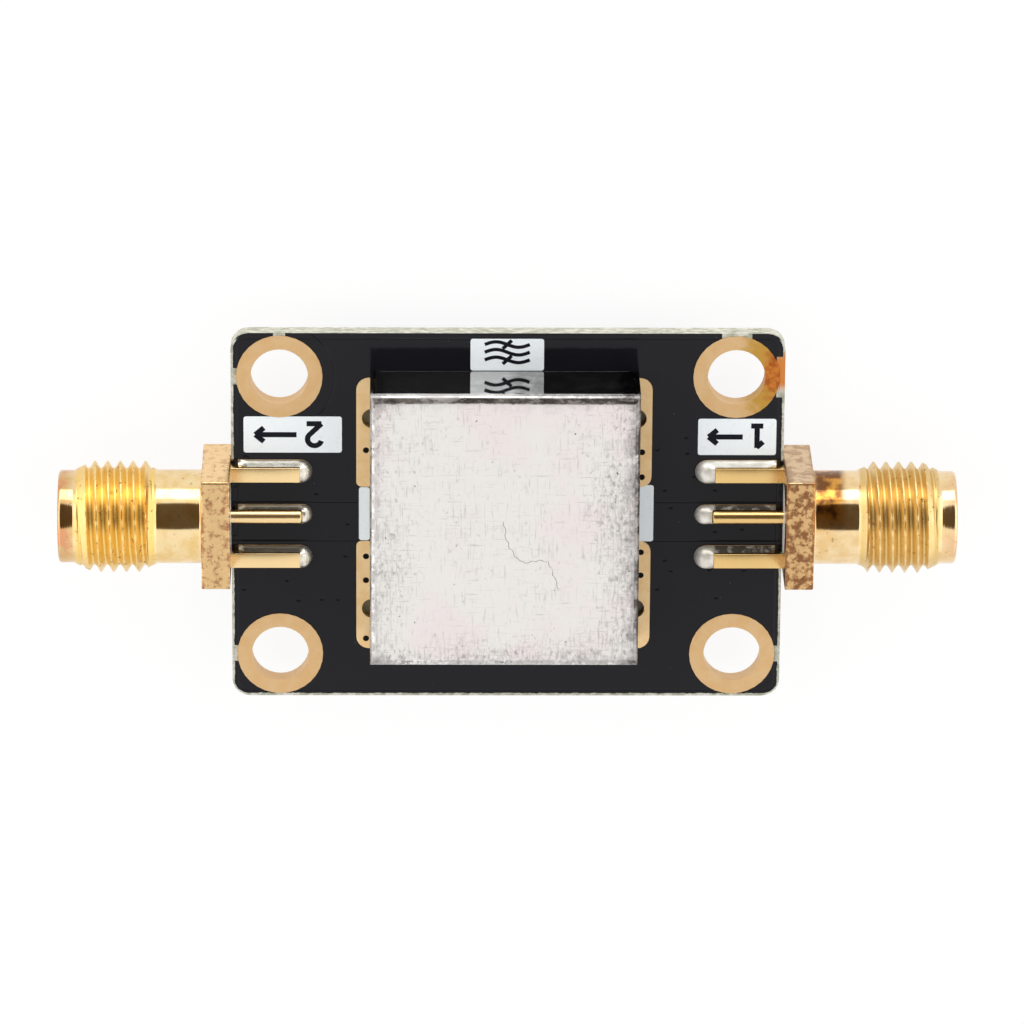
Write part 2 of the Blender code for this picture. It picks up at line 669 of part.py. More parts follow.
def inductor(number, x, y, across=False):
    """A wound chip: two square ends and a winding whose turns stand out as ribs."""
    name = f"inductor_{number}"
    half = COIL_LENGTH / 2
    radius = min(COIL_WIDTH, COIL_HEIGHT) / 2 - COIL_WIRE / 2
    reach = half - COIL_END
    pitch = 2 * reach / COIL_TURNS
    profile = [(0, half - COIL_END / 2), (radius - COIL_WIRE / 2, half - COIL_END / 2)]
    for turn in range(COIL_TURNS):
        crest = reach - (turn + 0.5) * pitch
        profile += [(radius - COIL_WIRE / 2, crest + pitch / 2), (radius, crest)]
    profile += [(radius - COIL_WIRE / 2, COIL_END / 2 - half), (0, COIL_END / 2 - half)]
    coil = turned(name, profile, steps=COIL_STEPS)
    coil.data.transform(Matrix.Translation((0, 0, COIL_HEIGHT / 2)))
    lay_part(coil, x, y, across)
    for end in (-1, 1):
        xs = sorted((end * half, end * (half - COIL_END)))
        cap_name = f"{name}_end_{ENDS[end]}"
        corners = ((xs[0], -COIL_WIDTH / 2, 0), (xs[1], COIL_WIDTH / 2, COIL_HEIGHT))
        cap = put(cap_name, block_mesh(cap_name, *corners), helper=True)
        lay_part(cap, x, y, across)
        boolean(coil, cap, "UNION")
    settle(coil, COIL_COPPER)


def ladder():
    """Five resonators along the signal line: a coil and a chip in line, or across it to ground."""
    for number in range(1, 6):
        x = CAN_SHIFT_X + (number - 3) * LADDER_PITCH
        if number % 2:
            inductor(number, x, LAYOUT_SHIFT + SHUNT_COIL_OFFSET, across=True)
            capacitor(number, x, LAYOUT_SHIFT - SHUNT_CHIP_OFFSET, across=True)
        else:
            inductor(number, x - SERIES_COIL_STEP, LAYOUT_SHIFT)
            capacitor(number, x + SERIES_CHIP_STEP, LAYOUT_SHIFT)


def build():
    circuit_board()
    for (side, end), (x, y) in hole_centres().items():
        mounting_ring(side, end, x, y)
    for side in SIDES:
        for end in ENDS:
            shield_pad(side, end)
        frame = side_frame(side)
        jack_body(side, frame)
        bead(side, frame)
        centre_contact(side, frame)
        pin_joint(side, frame)
        for level in leg_heights():
            for end in ENDS:
                leg_joint(side, frame, level, end)
    shield_can()
    for (side, end), (x, y) in tab_centres().items():
        tab_solder(side, end, x, y)
    ladder()


build()
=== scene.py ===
# %% [markdown]
# # A radio filter module, dressed for its portrait
#
# The object is a small black circuit board with a folded metal can over its coils and chips. A gold jack with
# a screw thread stands at each end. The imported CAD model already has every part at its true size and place.
# This lesson gives those parts the surfaces that the eye expects: turned gold, set solder, worn tin, glossy
# mask and printed marks.
#
# The frame comes first, because each new surface takes its place from it.

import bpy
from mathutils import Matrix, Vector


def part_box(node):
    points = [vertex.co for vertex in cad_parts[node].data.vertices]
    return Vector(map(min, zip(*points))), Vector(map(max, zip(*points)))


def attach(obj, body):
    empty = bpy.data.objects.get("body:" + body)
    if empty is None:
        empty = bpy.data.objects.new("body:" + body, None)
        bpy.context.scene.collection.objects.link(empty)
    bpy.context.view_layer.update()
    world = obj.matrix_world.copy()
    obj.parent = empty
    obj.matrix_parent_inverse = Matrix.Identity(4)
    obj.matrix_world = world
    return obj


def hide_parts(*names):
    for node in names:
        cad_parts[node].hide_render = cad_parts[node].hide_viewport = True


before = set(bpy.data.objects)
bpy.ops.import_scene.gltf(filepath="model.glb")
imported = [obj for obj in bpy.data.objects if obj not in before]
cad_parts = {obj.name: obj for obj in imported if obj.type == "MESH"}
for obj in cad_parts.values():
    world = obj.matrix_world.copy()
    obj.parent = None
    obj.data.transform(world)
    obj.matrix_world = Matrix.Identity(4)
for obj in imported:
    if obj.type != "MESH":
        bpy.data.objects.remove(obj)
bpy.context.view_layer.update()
print("parts in the frame:", len(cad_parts))

# %% Modules
import math

import bmesh
import bpy
import numpy as np
from mathutils import Matrix

# %% [markdown]
# The object is as small as a thumb, so this lesson counts in millimetres. Points become metres only when they
# enter a mesh. A few heights and edges are read from the CAD parts, and the rest follows from them.

# %% Heights and edges taken from the CAD parts
MM = 0.001


def box_mm(node):
    """Lowest and highest corner of a CAD part, in millimetres."""
    low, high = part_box(node)
    return np.array(low) / MM, np.array(high) / MM


board_low, board_high = box_mm("circuit_board")
MASK = board_high[2]
UNDERSIDE = board_low[2]
COPPER = box_mm("land_output_signal")[1][2] - MASK
jack_low, jack_high = box_mm("output_jack")
AXIS_Y = (jack_low[1] + jack_high[1]) / 2
AXIS_Z = (jack_low[2] + jack_high[2]) / 2
FLANGE = jack_high[2] - jack_low[2]
GAP = 0.02
FACE = board_high[0] + GAP
REACH = jack_high[0] - FACE
can_low, can_high = box_mm("shield_can")
print("mask height", MASK.round(3), "axis", AXIS_Y.round(3), AXIS_Z.round(3), "jack reach", REACH.round(3))

# %% [markdown]
# ## The camera
#
# The photograph looks down from the front edge of the board with a long lens, and the picture is upside down:
# the front edge is at its top. So the camera stands in front of the board and high above it, and is rolled by
# half a turn. Its three axes come from its elevation, its small turn to the side and its roll.

# %% Camera
ELEVATION, TURN, ROLL = np.radians([69.56, 0.885, 0.071])
DISTANCE = 429.6
FOCAL_PIXELS = 7686.8
SENSOR, PICTURE = 36, 1024  # widths, in millimetres and in pixels
AIM_X, AIM_Y = 6.362, -0.235


def camera_axes():
    """Rows right, up and back. Up starts along the board's front, then all three turn by the roll."""
    lean, rise = np.cos(ELEVATION), np.sin(ELEVATION)
    view = np.array([-np.sin(TURN), lean * np.cos(TURN), -rise * np.cos(TURN)])
    view /= np.linalg.norm(view)
    up = np.array([0, -rise, -lean])
    right = np.cross(view, up)
    right /= np.linalg.norm(right)
    up = np.cross(right, view)
    turned_right = right * np.cos(ROLL) + up * np.sin(ROLL)
    turned_up = up * np.cos(ROLL) - right * np.sin(ROLL)
    return np.array([turned_right, turned_up, -view])


camera = bpy.data.objects.new("camera", bpy.data.cameras.new("camera"))
bpy.context.scene.collection.objects.link(camera)
camera.data.sensor_width = SENSOR
camera.data.lens = FOCAL_PIXELS / PICTURE * SENSOR
axes = camera_axes()
place = np.array([AIM_X, AIM_Y - DISTANCE * np.cos(ELEVATION), MASK + DISTANCE * np.sin(ELEVATION)])
pose = np.eye(4)
pose[:3, :3] = axes.T
pose[:3, 3] = place * MM
camera.matrix_world = Matrix(pose.tolist())
bpy.context.scene.camera = camera
print("camera at", place.round(1), "mm, lens", round(camera.data.lens, 1))

# %% [markdown]
# ## Surfaces from arrays
#
# Almost every piece here is a grid: one parameter runs along a profile and the other carries it round an axis
# or along a path. The grid's corners are worked out as whole arrays, and the same small helper turns every
# grid into faces. A closed grid wraps its last line round to its first.


# %% Grids, and pieces made from them
def quads(rows, columns, wrap_rows=False, wrap_columns=False):
    """Four corner numbers for each cell: the point, the next in its row, and those two in the next row."""
    row = np.arange(rows if wrap_rows else rows - 1)[:, None]
    column = np.arange(columns if wrap_columns else columns - 1)[None, :]
    next_row, next_column = (row + 1) % rows, (column + 1) % columns
    corners = (
        row * columns + column,
        row * columns + next_column,
        next_row * columns + next_column,
        next_row * columns + column,
    )
    shape = np.broadcast_shapes(row.shape, column.shape)
    return np.stack([np.broadcast_to(corner, shape).ravel() for corner in corners], axis=1)


def shell(grid, **wraps):
    """A grid of points, rows by columns by three, as a pair of flat points and faces."""
    rows, columns = grid.shape[:2]
    return grid.reshape(-1, 3), quads(rows, columns, **wraps)


def piece(name, shells, material, stands_for=(), sharp=32):
    """One object from several closed shells: points in millimetres, doubles merged, faces turned outwards."""
    counts = np.cumsum([0] + [len(points) for points, _ in shells])
    points = np.concatenate([points for points, _ in shells]) * MM
    faces = np.concatenate([faces + start for (_, faces), start in zip(shells, counts)])
    mesh = bpy.data.meshes.new(name)
    mesh.from_pydata(points.tolist(), [], faces.tolist())
    shaped = bmesh.new()
    shaped.from_mesh(mesh)
    bmesh.ops.remove_doubles(shaped, verts=shaped.verts, dist=2e-8)
    bmesh.ops.dissolve_degenerate(shaped, edges=shaped.edges, dist=1e-8)
    bmesh.ops.recalc_face_normals(shaped, faces=shaped.faces)
    shaped.to_mesh(mesh)
    shaped.free()
    mesh.shade_smooth()
    mesh.set_sharp_from_angle(angle=math.radians(sharp))
    mesh.materials.append(material)
    made = bpy.data.objects.new(name, mesh)
    bpy.context.scene.collection.objects.link(made)
    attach(made, "root")
    if stands_for:
        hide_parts(*stands_for)
    print(name, len(mesh.polygons), "faces")
    return made


# %% Places at either end
SIDES = {"input": -1, "output": 1}


def at_end(points, side):
    """Moves points from the jack's own place to one end of the board.

    The jack's own x runs outwards from the flange's inner face. The input end is the output end turned half a
    turn about the upright, so threads keep their hand.
    """
    x = side * (FACE + points[..., 0])
    y = AXIS_Y + side * points[..., 1]
    return np.stack([x, y, AXIS_Z + points[..., 2]], axis=-1)


# %% [markdown]
# ## Finishes as small node graphs
#
# Each finish is a Principled shader, fed by noise that is counted in millimetres too. A graph of many small
# nodes is hard to read as code, so one output of a node is wrapped as a `Field`: plain sums and products of
# fields then add the Math nodes. The other helpers are short names for common nodes.


# %% Nodes as fields
def srgb(red, green, blue):
    """Linear colour from screen values of 0 to 255: the screen's curve is undone."""
    screen = np.array([red, green, blue]) / 255
    linear = np.where(screen <= 0.04045, screen / 12.92, ((screen + 0.055) / 1.055) ** 2.4)
    return (*linear.tolist(), 1.0)


def add(tree, kind, inputs=None, **settings):
    """A node whose inputs are set to values or linked from fields."""
    made = tree.nodes.new("ShaderNode" + kind)
    for name, value in settings.items():
        setattr(made, name, value)
    for name, value in (inputs or {}).items():
        if isinstance(value, Field):
            tree.links.new(value.socket, made.inputs[name])
        else:
            made.inputs[name].default_value = value
    return made


def field(tree, kind, inputs=None, output=0, **settings):
    """One output of a new node."""
    return Field(add(tree, kind, inputs, **settings).outputs[output])


def calc(operation, *values):
    """One Math node on fields and numbers."""
    tree = next(value.tree for value in values if isinstance(value, Field))
    return field(tree, "Math", dict(enumerate(values)), operation=operation)


class Field:
    """A value that varies over the surface. Arithmetic on it adds Math nodes to its tree."""

    def __init__(self, socket):
        self.socket, self.tree = socket, socket.id_data

    def __add__(self, other):
        return calc("ADD", self, other)

    def __sub__(self, other):
        return calc("SUBTRACT", self, other)

    def __rsub__(self, other):
        return calc("SUBTRACT", other, self)

    def __mul__(self, other):
        return calc("MULTIPLY", self, other)

    def __truediv__(self, other):
        return calc("DIVIDE", self, other)

    def __pow__(self, other):
        return calc("POWER", self, other)

    def __abs__(self):
        return calc("ABSOLUTE", self)


def largest(first, *others):
    """The largest of several fields, point by point."""
    for other in others:
        first = calc("MAXIMUM", first, other)
    return first


# %% Masks, points, noise and colours
def step_up(value, low, high):
    """Rises smoothly from 0 at the low value to 1 at the high one."""
    inputs = {"Value": value, "From Min": low, "From Max": high}
    return field(value.tree, "MapRange", inputs, "Result", interpolation_type="SMOOTHSTEP")


def band(value, low, high, soft):
    """1 between two limits, with soft edges."""
    return step_up(value, low - soft, low + soft) * step_up(value, high + soft, high - soft)


def line_at(value, centre, half_width):
    """1 on a line where the value equals its centre, falling to 0 at the half width."""
    return step_up(abs(value - centre), half_width, 0.0)


def distance(first, second):
    """How far a point is from a centre, from its two offsets: the root of the sum of their squares."""
    return (first * first + second * second) ** 0.5


def millimetres(tree, scale=(1, 1, 1)):
    """The point on the object in millimetres, stretched along its axes where asked."""
    point = field(tree, "TexCoord", output="Object")
    return field(tree, "Mapping", {"Vector": point, "Scale": tuple(each / MM for each in scale)})


def xyz(vector):
    """The three parts of a point or a direction."""
    return [Field(output) for output in add(vector.tree, "SeparateXYZ", {0: vector}).outputs]


def normal(tree):
    """The three parts of the direction in which the surface faces."""
    return xyz(field(tree, "NewGeometry", output="Normal"))


def noise(point, scale, detail=3.0, roughness=0.55):
    """Cloudy values round a half, with features of about one over the scale."""
    inputs = {"Vector": point, "Scale": scale, "Detail": detail, "Roughness": roughness}
    return field(point.tree, "TexNoise", inputs, "Fac")


def blend_colour(factor, first, second):
    """First colour at factor 0, second at factor 1."""
    inputs = {0: factor, 6: first, 7: second}
    return field(factor.tree, "Mix", inputs, 2, data_type="RGBA", blend_type="MIX")


# %% Materials
def finish(name, colour, roughness, metallic=0.0, **constants):
    """A material with one Principled shader. Returns the material, its tree and its shader."""
    made = bpy.data.materials.new(name)
    made.use_nodes = True
    shader = made.node_tree.nodes["Principled BSDF"]
    made.diffuse_color = colour
    values = {"Base Color": colour, "Roughness": roughness, "Metallic": metallic, **constants}
    for socket, value in values.items():
        shader.inputs[socket].default_value = value
    return made, made.node_tree, shader


def wire(value, shader, socket):
    """Links a field to one input of the shader."""
    value.tree.links.new(value.socket, shader.inputs[socket])


def clouded(tree, shader, light, dark, scale, detail=3.0):
    """Colours the shader with a cloud of two colours."""
    wire(blend_colour(noise(millimetres(tree), scale, detail), light, dark), shader, "Base Color")


def relief(shader, height, depth_mm):
    """Bump from a height field of 0 to 1, as deep as the given millimetres."""
    inputs = {"Height": height, "Distance": depth_mm * MM, "Strength": 1.0}
    wire(field(height.tree, "Bump", inputs), shader, "Normal")


def dress(name, material):
    """Gives a CAD part its finish."""
    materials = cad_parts[name].data.materials
    materials.clear()
    materials.append(material)


# %% [markdown]
# ## The circuit board
#
# The board's top is black mask, so glossy that it mirrors the can. Three things break it up. A fringe of
# bare laminate shows along the edges, where the mask stops short: not along the front edge, and hardly
# beside the jacks. Bare patches show where a ring comes close to an edge, the widest of them at the stained
# corner, where the laminate is orange too. Faint steps run under the mask where copper starts and stops, and
# small dimples cover the filled via holes. All of them are distances from known lines, so the graph works out
# those distances from the point's own millimetres.


# %% Distances on the board
CORNER = 0.9  # radius of the board's corners
HOLE_X, HOLE_Y = 12.7, 8.25  # from the board's middle to its corner holes
FRINGE, PATCH_EDGE = 0.15, 0.5  # widths of the bare fringe and of the bare patches, from the edge inwards


def board_distances(x, y):
    """How far the point lies outside the board's edge (negative within), and from the nearest corner hole."""
    across, along = abs(x), abs(y)
    edge_x = across - board_high[0]
    edge_y = along - board_high[1]
    edge = largest(edge_x, edge_y)
    corner_x = largest(edge_x + CORNER, 0.0)
    corner_y = largest(edge_y + CORNER, 0.0)
    round_edge = distance(corner_x, corner_y) - CORNER
    hole = distance(across - HOLE_X, along - HOLE_Y)
    return largest(edge, round_edge), hole


# %% Black mask over bare laminate
def bare_laminate(x, y, edge, ragged):
    """1 where the mask stops short of an edge, and in patches between a ring and the edge next to it."""
    front = step_up(y, -10.35, -10.5)
    jack = step_up(abs(y - AXIS_Y), 3.3, 3.1)
    fringe = step_up(ragged, -FRINGE, 0.03 - FRINGE) * (1.0 - largest(front, jack))
    worse = step_up(x, -10, -10.1) * step_up(y, -6, -6.1)
    along = abs(abs(y) - HOLE_Y) - worse * 0.72
    across = abs(abs(x) - HOLE_X) - worse * 0.5
    patch = largest(step_up(along, 0.5, 0.44), step_up(across, 0.36, 0.3))
    return largest(fringe, patch * step_up(edge, -PATCH_EDGE, 0.05 - PATCH_EDGE))


def mask_relief(point, x, y, edge, hole):
    """Steps of the copper under the mask, an arc beside one ring, and dimples over filled vias."""
    past_can = step_up(abs(x), 7.9, 8.1)
    traces = largest(*[line_at(y, centre, 0.05) for centre in (-0.82, 1.48)]) * past_can
    lines = largest(traces, line_at(edge, -0.33, 0.04))
    beside = step_up(x, 11.5, 10.9) * step_up(y, -5.6, -6.6) * step_up(x, 0, 1)
    arc_line = line_at(hole, 3.08, 0.07) * beside
    inputs = {"Vector": point, "Scale": 0.72}
    cells = add(point.tree, "TexVoronoi", inputs, voronoi_dimensions="2D").outputs
    dimple = step_up(Field(cells["Distance"]), 0.14, 0.05)
    kept = field(point.tree, "SeparateColor", {0: Field(cells["Color"])})
    near = step_up(abs(y), 5.2, 5.0) * past_can
    return largest(lines, arc_line, dimple * step_up(kept, 0.35, 0.4) * near)


def board_finish():
    made, tree, shader = finish("black_mask", srgb(28, 28, 30), 0.1, IOR=1.27)
    point = millimetres(tree)
    x, y, _ = xyz(point)
    edge, hole = board_distances(x, y)
    ragged = edge + (noise(point, 3.5, 4) - 0.5) * 0.16
    cut_side = step_up(abs(normal(tree)[2]), 0.7, 0.5)
    bare = largest(bare_laminate(x, y, edge, ragged), cut_side)
    weave = step_up(noise(millimetres(tree, (0.7, 0.7, 2)), 3, 5, 0.7), 0.38, 0.62)
    laminate = blend_colour(weave, srgb(158, 160, 140), srgb(212, 209, 198))
    off_x, off_y = x + 15.4, y + 8.6
    from_stain = off_x * off_x + off_y * off_y + noise(point, 2) * 1.2
    laminate = blend_colour(step_up(from_stain, 2.4, 0.9), laminate, srgb(206, 128, 58))
    dusty = step_up(noise(point, 6.5, 1), 0.8, 0.84)
    black = blend_colour(noise(point, 0.5), srgb(21, 21, 26), srgb(25, 25, 30))
    black = blend_colour(dusty * 0.5, black, srgb(120, 120, 122))
    wire(blend_colour(bare, black, laminate), shader, "Base Color")
    wire(bare * 0.5 + 0.08, shader, "Roughness")
    steps = mask_relief(point, x, y, edge, hole)
    orange_peel = noise(point, 1.1, 2) * 0.3
    relief(shader, steps * -1.2 + orange_peel, 0.014)
    return made


dress("circuit_board", board_finish())
print("board edges at", board_high[:2].round(2), "mm, holes at", HOLE_X, HOLE_Y)

# %% [markdown]
# ## Gold on flat copper
#
# Rings, pad strips and lands are thin gold on etched copper: matte, a little orange and slightly uneven.
# Rings and lands are a shade darker than the strips beside the can. One ring has a stain of burnt flux on its
# outer side, yellow round it and orange in its middle. The same finish serves all of them, since it reads the
# point's place on the board. Next to the flanges the lands take the mask's colour, because the mask covers
# the last part of them.


# %% Matte pad gold
def pad_finish():
    made, tree, shader = finish("pad_gold", srgb(238, 204, 152), 0.45, 0.7)
    point = millimetres(tree)
    x, y, _ = xyz(point)
    cloud, grain = noise(point, 1.1, 4), noise(point, 9, 3)
    gold = blend_colour(step_up(cloud, 0.35, 0.65), srgb(238, 200, 144), srgb(244, 212, 162))
    gold = blend_colour(step_up(grain, 0.58, 0.75) * 0.25, gold, srgb(186, 142, 90))
    past_strips = step_up(abs(x), 9, 10)
    gold = blend_colour(past_strips * 0.5, gold, srgb(202, 158, 108))
    away = distance(x + 15.0, (y + 8.5) * 0.75) + noise(point, 1.7, 5, 0.62) * 1.6
    gold = blend_colour(step_up(away, 3.5, 2.5) * 0.9, gold, srgb(194, 148, 54))
    burnt = step_up(noise(point, 2.6, 4), 0.4, 0.62)
    orange = blend_colour(burnt, srgb(206, 122, 44), srgb(168, 78, 18))
    gold = blend_colour(step_up(away, 2.2, 1.3) * 0.9, gold, orange)
    at_flange = step_up(abs(x), 15.0, 15.04) * step_up(abs(y), 4.5, 4.4)
    wire(blend_colour(at_flange, gold, srgb(20, 20, 22)), shader, "Base Color")
    wire((1.0 - at_flange) * 0.7, shader, "Metallic")
    wire(grain * 0.16 + 0.36, shader, "Roughness")
    relief(shader, grain, 0.004)
    return made


PAD_GOLD = pad_finish()
flat_copper = [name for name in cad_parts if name.startswith(("mounting_ring", "shield_pad", "land_"))]
for name in flat_copper:
    dress(name, PAD_GOLD)
print("pieces of flat copper:", len(flat_copper))

# %% [markdown]
# ## The jacks
#
# A jack is one turned and milled piece of brass under gold: a square flange, a barrel, a nose with a screw
# thread and a bore. A lathe cuts all of that but the square, so one profile carried round the axis makes the
# whole thing, if the radius may also depend on the angle. The square flange is the radius at which a ray at
# that angle meets a rounded square. The thread is a groove with sloping flanks and a round root, whose place
# along the axis moves by one pitch for each turn.

# %% Profile of the jack
PITCH = 25.4 / 36
NOSE, BARREL, CREST = 2.59, 2.625, 3.1
MOUTH, BORE = 2.3, 2.07
FLANGE_DEEP = 1.58
TIP = REACH
MOUTH_FLOOR = TIP - 1.9
THREAD_START, THREAD_END = 5.52, 0.86  # both counted back from the tip
THREAD_DEEP, TURNS_CUT = 0.4, 22  # depth of the thread, and rows for each of its turns
FLANGE_EDGE, FLANGE_CORNER = 0.07, 0.12
HEEL_FILLET, NOSE_ROUND, MOUTH_ROUND = 0.14, 0.2, 0.05


def arc(centre, radius, start, end, count):
    """Points on a circular arc between two angles in degrees, as (along the axis, radius)."""
    angle = np.radians(np.linspace(start, end, count))
    return np.stack([centre[0] + radius * np.cos(angle), centre[1] + radius * np.sin(angle)], axis=1)


def thread_ceiling(along):
    """The cone that ends the thread: up from the nose to the full crest, and down to the barrel behind."""
    from_tip = TIP - along
    lead = np.interp(from_tip, [0.85, 1.9], [NOSE, CREST])
    runout = np.interp(from_tip, [4.86, 5.05, 5.5], [CREST, 2.82, BARREL])
    return np.minimum(lead, runout)


def thread_radius(along, angle):
    """Straight flanks that ease into a round root, from a narrow crest that moves one pitch for each turn.

    With u from 0 at the crest to 1 at the root, the depth is u less a fifth of its fifth power, scaled to
    reach the full depth at the root.
    """
    phase = ((along - (TIP - 2.05)) / PITCH - (angle - np.pi) / (2 * np.pi)) % 1.0
    from_crest = np.minimum(phase, 1 - phase)
    u = np.clip((from_crest - 0.05) / 0.43, 0, 1)
    depth = THREAD_DEEP * u * (1.25 - 0.25 * u**4)
    return np.minimum(CREST - depth, thread_ceiling(along))


def square_radius(angle, half, corner):
    """Distance from the axis to a square with round corners, along a ray at each angle.

    The ray meets a corner's circle at b plus the root of b squared less c: b is how far the circle's centre
    reaches along the ray, and c is the square of its distance less the square of its radius.
    """
    folded = np.abs((angle + np.pi / 4) % (np.pi / 2) - np.pi / 4)
    flat = half / np.cos(folded)
    inner = half - corner
    reach = inner * (np.cos(folded) + np.sin(folded))
    gap = 2 * inner**2 - corner**2
    rounded = reach + np.sqrt(np.maximum(reach**2 - gap, 0))
    return np.where(half * np.tan(folded) > inner, rounded, flat)


# %% The jack's turned surface as one closed grid
def jack_angles():
    """Even steps round the axis, with more of them where the flange's corners are."""
    even = np.linspace(0, 2 * np.pi, 144, endpoint=False)
    near = np.radians([0.3, 0.6, 0.9, 1.3, 1.9, 2.6])
    near = np.concatenate([-near[::-1], [0], near])
    corners = (np.pi / 4 + np.arange(4)[:, None] * np.pi / 2 + near[None, :]).ravel()
    return np.unique(np.round(np.concatenate([even, corners]), 6))


def jack_grid():
    """Rows follow the profile: from the bore's inner end over the flange to the tip, then back inside."""
    angle = jack_angles()
    edge = FLANGE_EDGE
    square = square_radius(angle, FLANGE / 2, FLANGE_CORNER)
    bevel = np.linspace(0, np.pi / 2, 4)
    rows = [(0, BORE), (0, square - edge)]
    rows += [(edge * (1 - np.cos(a)), square - edge + edge * np.sin(a)) for a in bevel[1:]]
    rows += [(FLANGE_DEEP - edge + edge * np.sin(a), square - edge + edge * np.cos(a)) for a in bevel]
    heel = (FLANGE_DEEP + HEEL_FILLET, BARREL + HEEL_FILLET)
    rows += arc(heel, HEEL_FILLET, 180, 270, 6).tolist()
    thread = np.arange(TIP - THREAD_START, TIP - THREAD_END, PITCH / TURNS_CUT)
    rows += [(along, thread_radius(along, angle)) for along in thread]
    rows += [(TIP - THREAD_END + 0.02, NOSE)]
    rows += arc((TIP - NOSE_ROUND, NOSE - NOSE_ROUND), NOSE_ROUND, 90, 0, 7).tolist()
    rows += arc((TIP - MOUTH_ROUND, MOUTH + MOUTH_ROUND), MOUTH_ROUND, 0, -90, 4).tolist()
    rows += [(MOUTH_FLOOR, MOUTH), (MOUTH_FLOOR, BORE)]
    along = np.stack([np.broadcast_to(row[0], angle.shape) for row in rows])
    radius = np.stack([np.broadcast_to(row[1], angle.shape) for row in rows])
    return np.stack([along, radius * np.cos(angle), radius * np.sin(angle)], axis=-1)


grid = jack_grid()
print("jack grid", grid.shape)

# %% [markdown]
# The legs are milled bars with slightly broken edges. A rounded rectangle carried along a straight path makes
# one, with the last few loops drawn in to round the end.


# %% Bars with broken edges
def rounded_loop(width, height, radius, count=5):
    """Corner arcs of a rounded rectangle, anticlockwise, as (y, z)."""
    angle = np.linspace(0, np.pi / 2, count)
    arcs = []
    for number, (side_y, side_z) in enumerate([(1, 1), (-1, 1), (-1, -1), (1, -1)]):
        turn = angle + number * np.pi / 2
        y = side_y * (width / 2 - radius) + radius * np.cos(turn)
        z = side_z * (height / 2 - radius) + radius * np.sin(turn)
        arcs.append(np.stack([y, z], axis=1))
    return np.concatenate(arcs)


def bar(x_from, x_to, centre_y, centre_z, width, height, radius):
    """The loop carried along x. It shrinks by one minus a cosine near both ends, and closes on its middle."""
    bend = np.linspace(0, np.pi / 2, 4)
    inset = np.concatenate([radius * (1 - np.sin(bend)), radius * (1 - np.cos(bend))])
    way = np.sign(x_to - x_from)
    x = np.concatenate([x_from + way * radius * (1 - np.cos(bend)), x_to - way * radius * (1 - np.sin(bend))])
    loops = [rounded_loop(width - 2 * each, height - 2 * each, max(radius - each, 0.002)) for each in inset]
    loops = [np.zeros_like(loops[0]), *loops, np.zeros_like(loops[0])]
    x = np.concatenate([[x_from], x, [x_to]])
    yz = np.stack(loops)
    rows = np.broadcast_to(x[:, None], yz.shape[:2])
    return np.stack([rows, centre_y + yz[..., 0], centre_z + yz[..., 1]], axis=-1)


LEG_WIDE, LEG_THICK, LEG_LONG, LEG_OFF = 0.86, 0.73, 3.86, 2.54
LEG_ROOT, LEG_EDGE = 0.3, 0.05  # how far a leg starts inside the flange, and its broken edges
PIN_LONG = 3.99
SEAT = COPPER + 0.02


def legs():
    """Two legs over the board and two under it."""
    over = MASK + SEAT + LEG_THICK / 2 - AXIS_Z
    under = UNDERSIDE - SEAT - LEG_THICK / 2 - AXIS_Z
    places = [(y, z) for y in (-LEG_OFF, LEG_OFF) for z in (over, under)]
    return [bar(LEG_ROOT, -LEG_LONG, y, z, LEG_WIDE, LEG_THICK, LEG_EDGE) for y, z in places]


# %% [markdown]
# Bright gold on a lathe-turned part shows fine rings, because the tool leaves a groove at every turn. The
# flange shows blotches of copper pink and brown where the plate has worn, fewer of them on its front face,
# and threads and barrel have brown spots. The input jack is the duller of the two, and flux has burnt its
# barrel brown. The output's nose is the pinker one. All of it depends on the place along the jack, so one
# graph can tell flange from barrel by the distance from the board's middle, and a table holds what differs
# from one jack to the other.


# %% Turned gold
WEAR = {
    "output": {
        "gold": (srgb(234, 198, 132), srgb(244, 218, 168)),
        "thread": srgb(242, 206, 124),
        "flange_gold": srgb(222, 186, 134),
        "lit_front_gold": srgb(250, 210, 150),
        "leg_gold": srgb(240, 210, 156),
        "nose_gold": srgb(206, 164, 112),
        "flange": (0.48, 0.68),
        "spots": (0.6, 0.7),
        "worn": srgb(166, 112, 78),
        "pink": 0.8,
    },
    "input": {
        "gold": (srgb(232, 196, 138), srgb(244, 218, 172)),
        "thread": srgb(222, 190, 124),
        "flange_gold": srgb(214, 174, 122),
        "lit_front_gold": srgb(222, 190, 148),
        "leg_gold": srgb(226, 190, 126),
        "nose_gold": srgb(236, 206, 158),
        "flange": (0.43, 0.58),
        "spots": (0.61, 0.7),
        "worn": srgb(138, 90, 58),
        "pink": 0.3,
    },
}


def jack_zones(out, radius):
    """Masks for legs, flange, barrel next to the flange, thread, its roots, and nose."""
    legs_zone = step_up(out, FACE, FACE - 0.03)
    flange = band(out, FACE, FACE + FLANGE_DEEP + 0.05, 0.02)
    heel = band(out, FACE + FLANGE_DEEP, FACE + FLANGE_DEEP + 1.7, 0.3)
    thread = band(out, FACE + TIP - 5.4, FACE + TIP - 1.0, 0.1)
    roots = thread * step_up(radius, 3.02, 2.72)
    nose = step_up(out, FACE + TIP - 1.3, FACE + TIP - 0.3)
    return legs_zone, flange, heel, thread, roots, nose


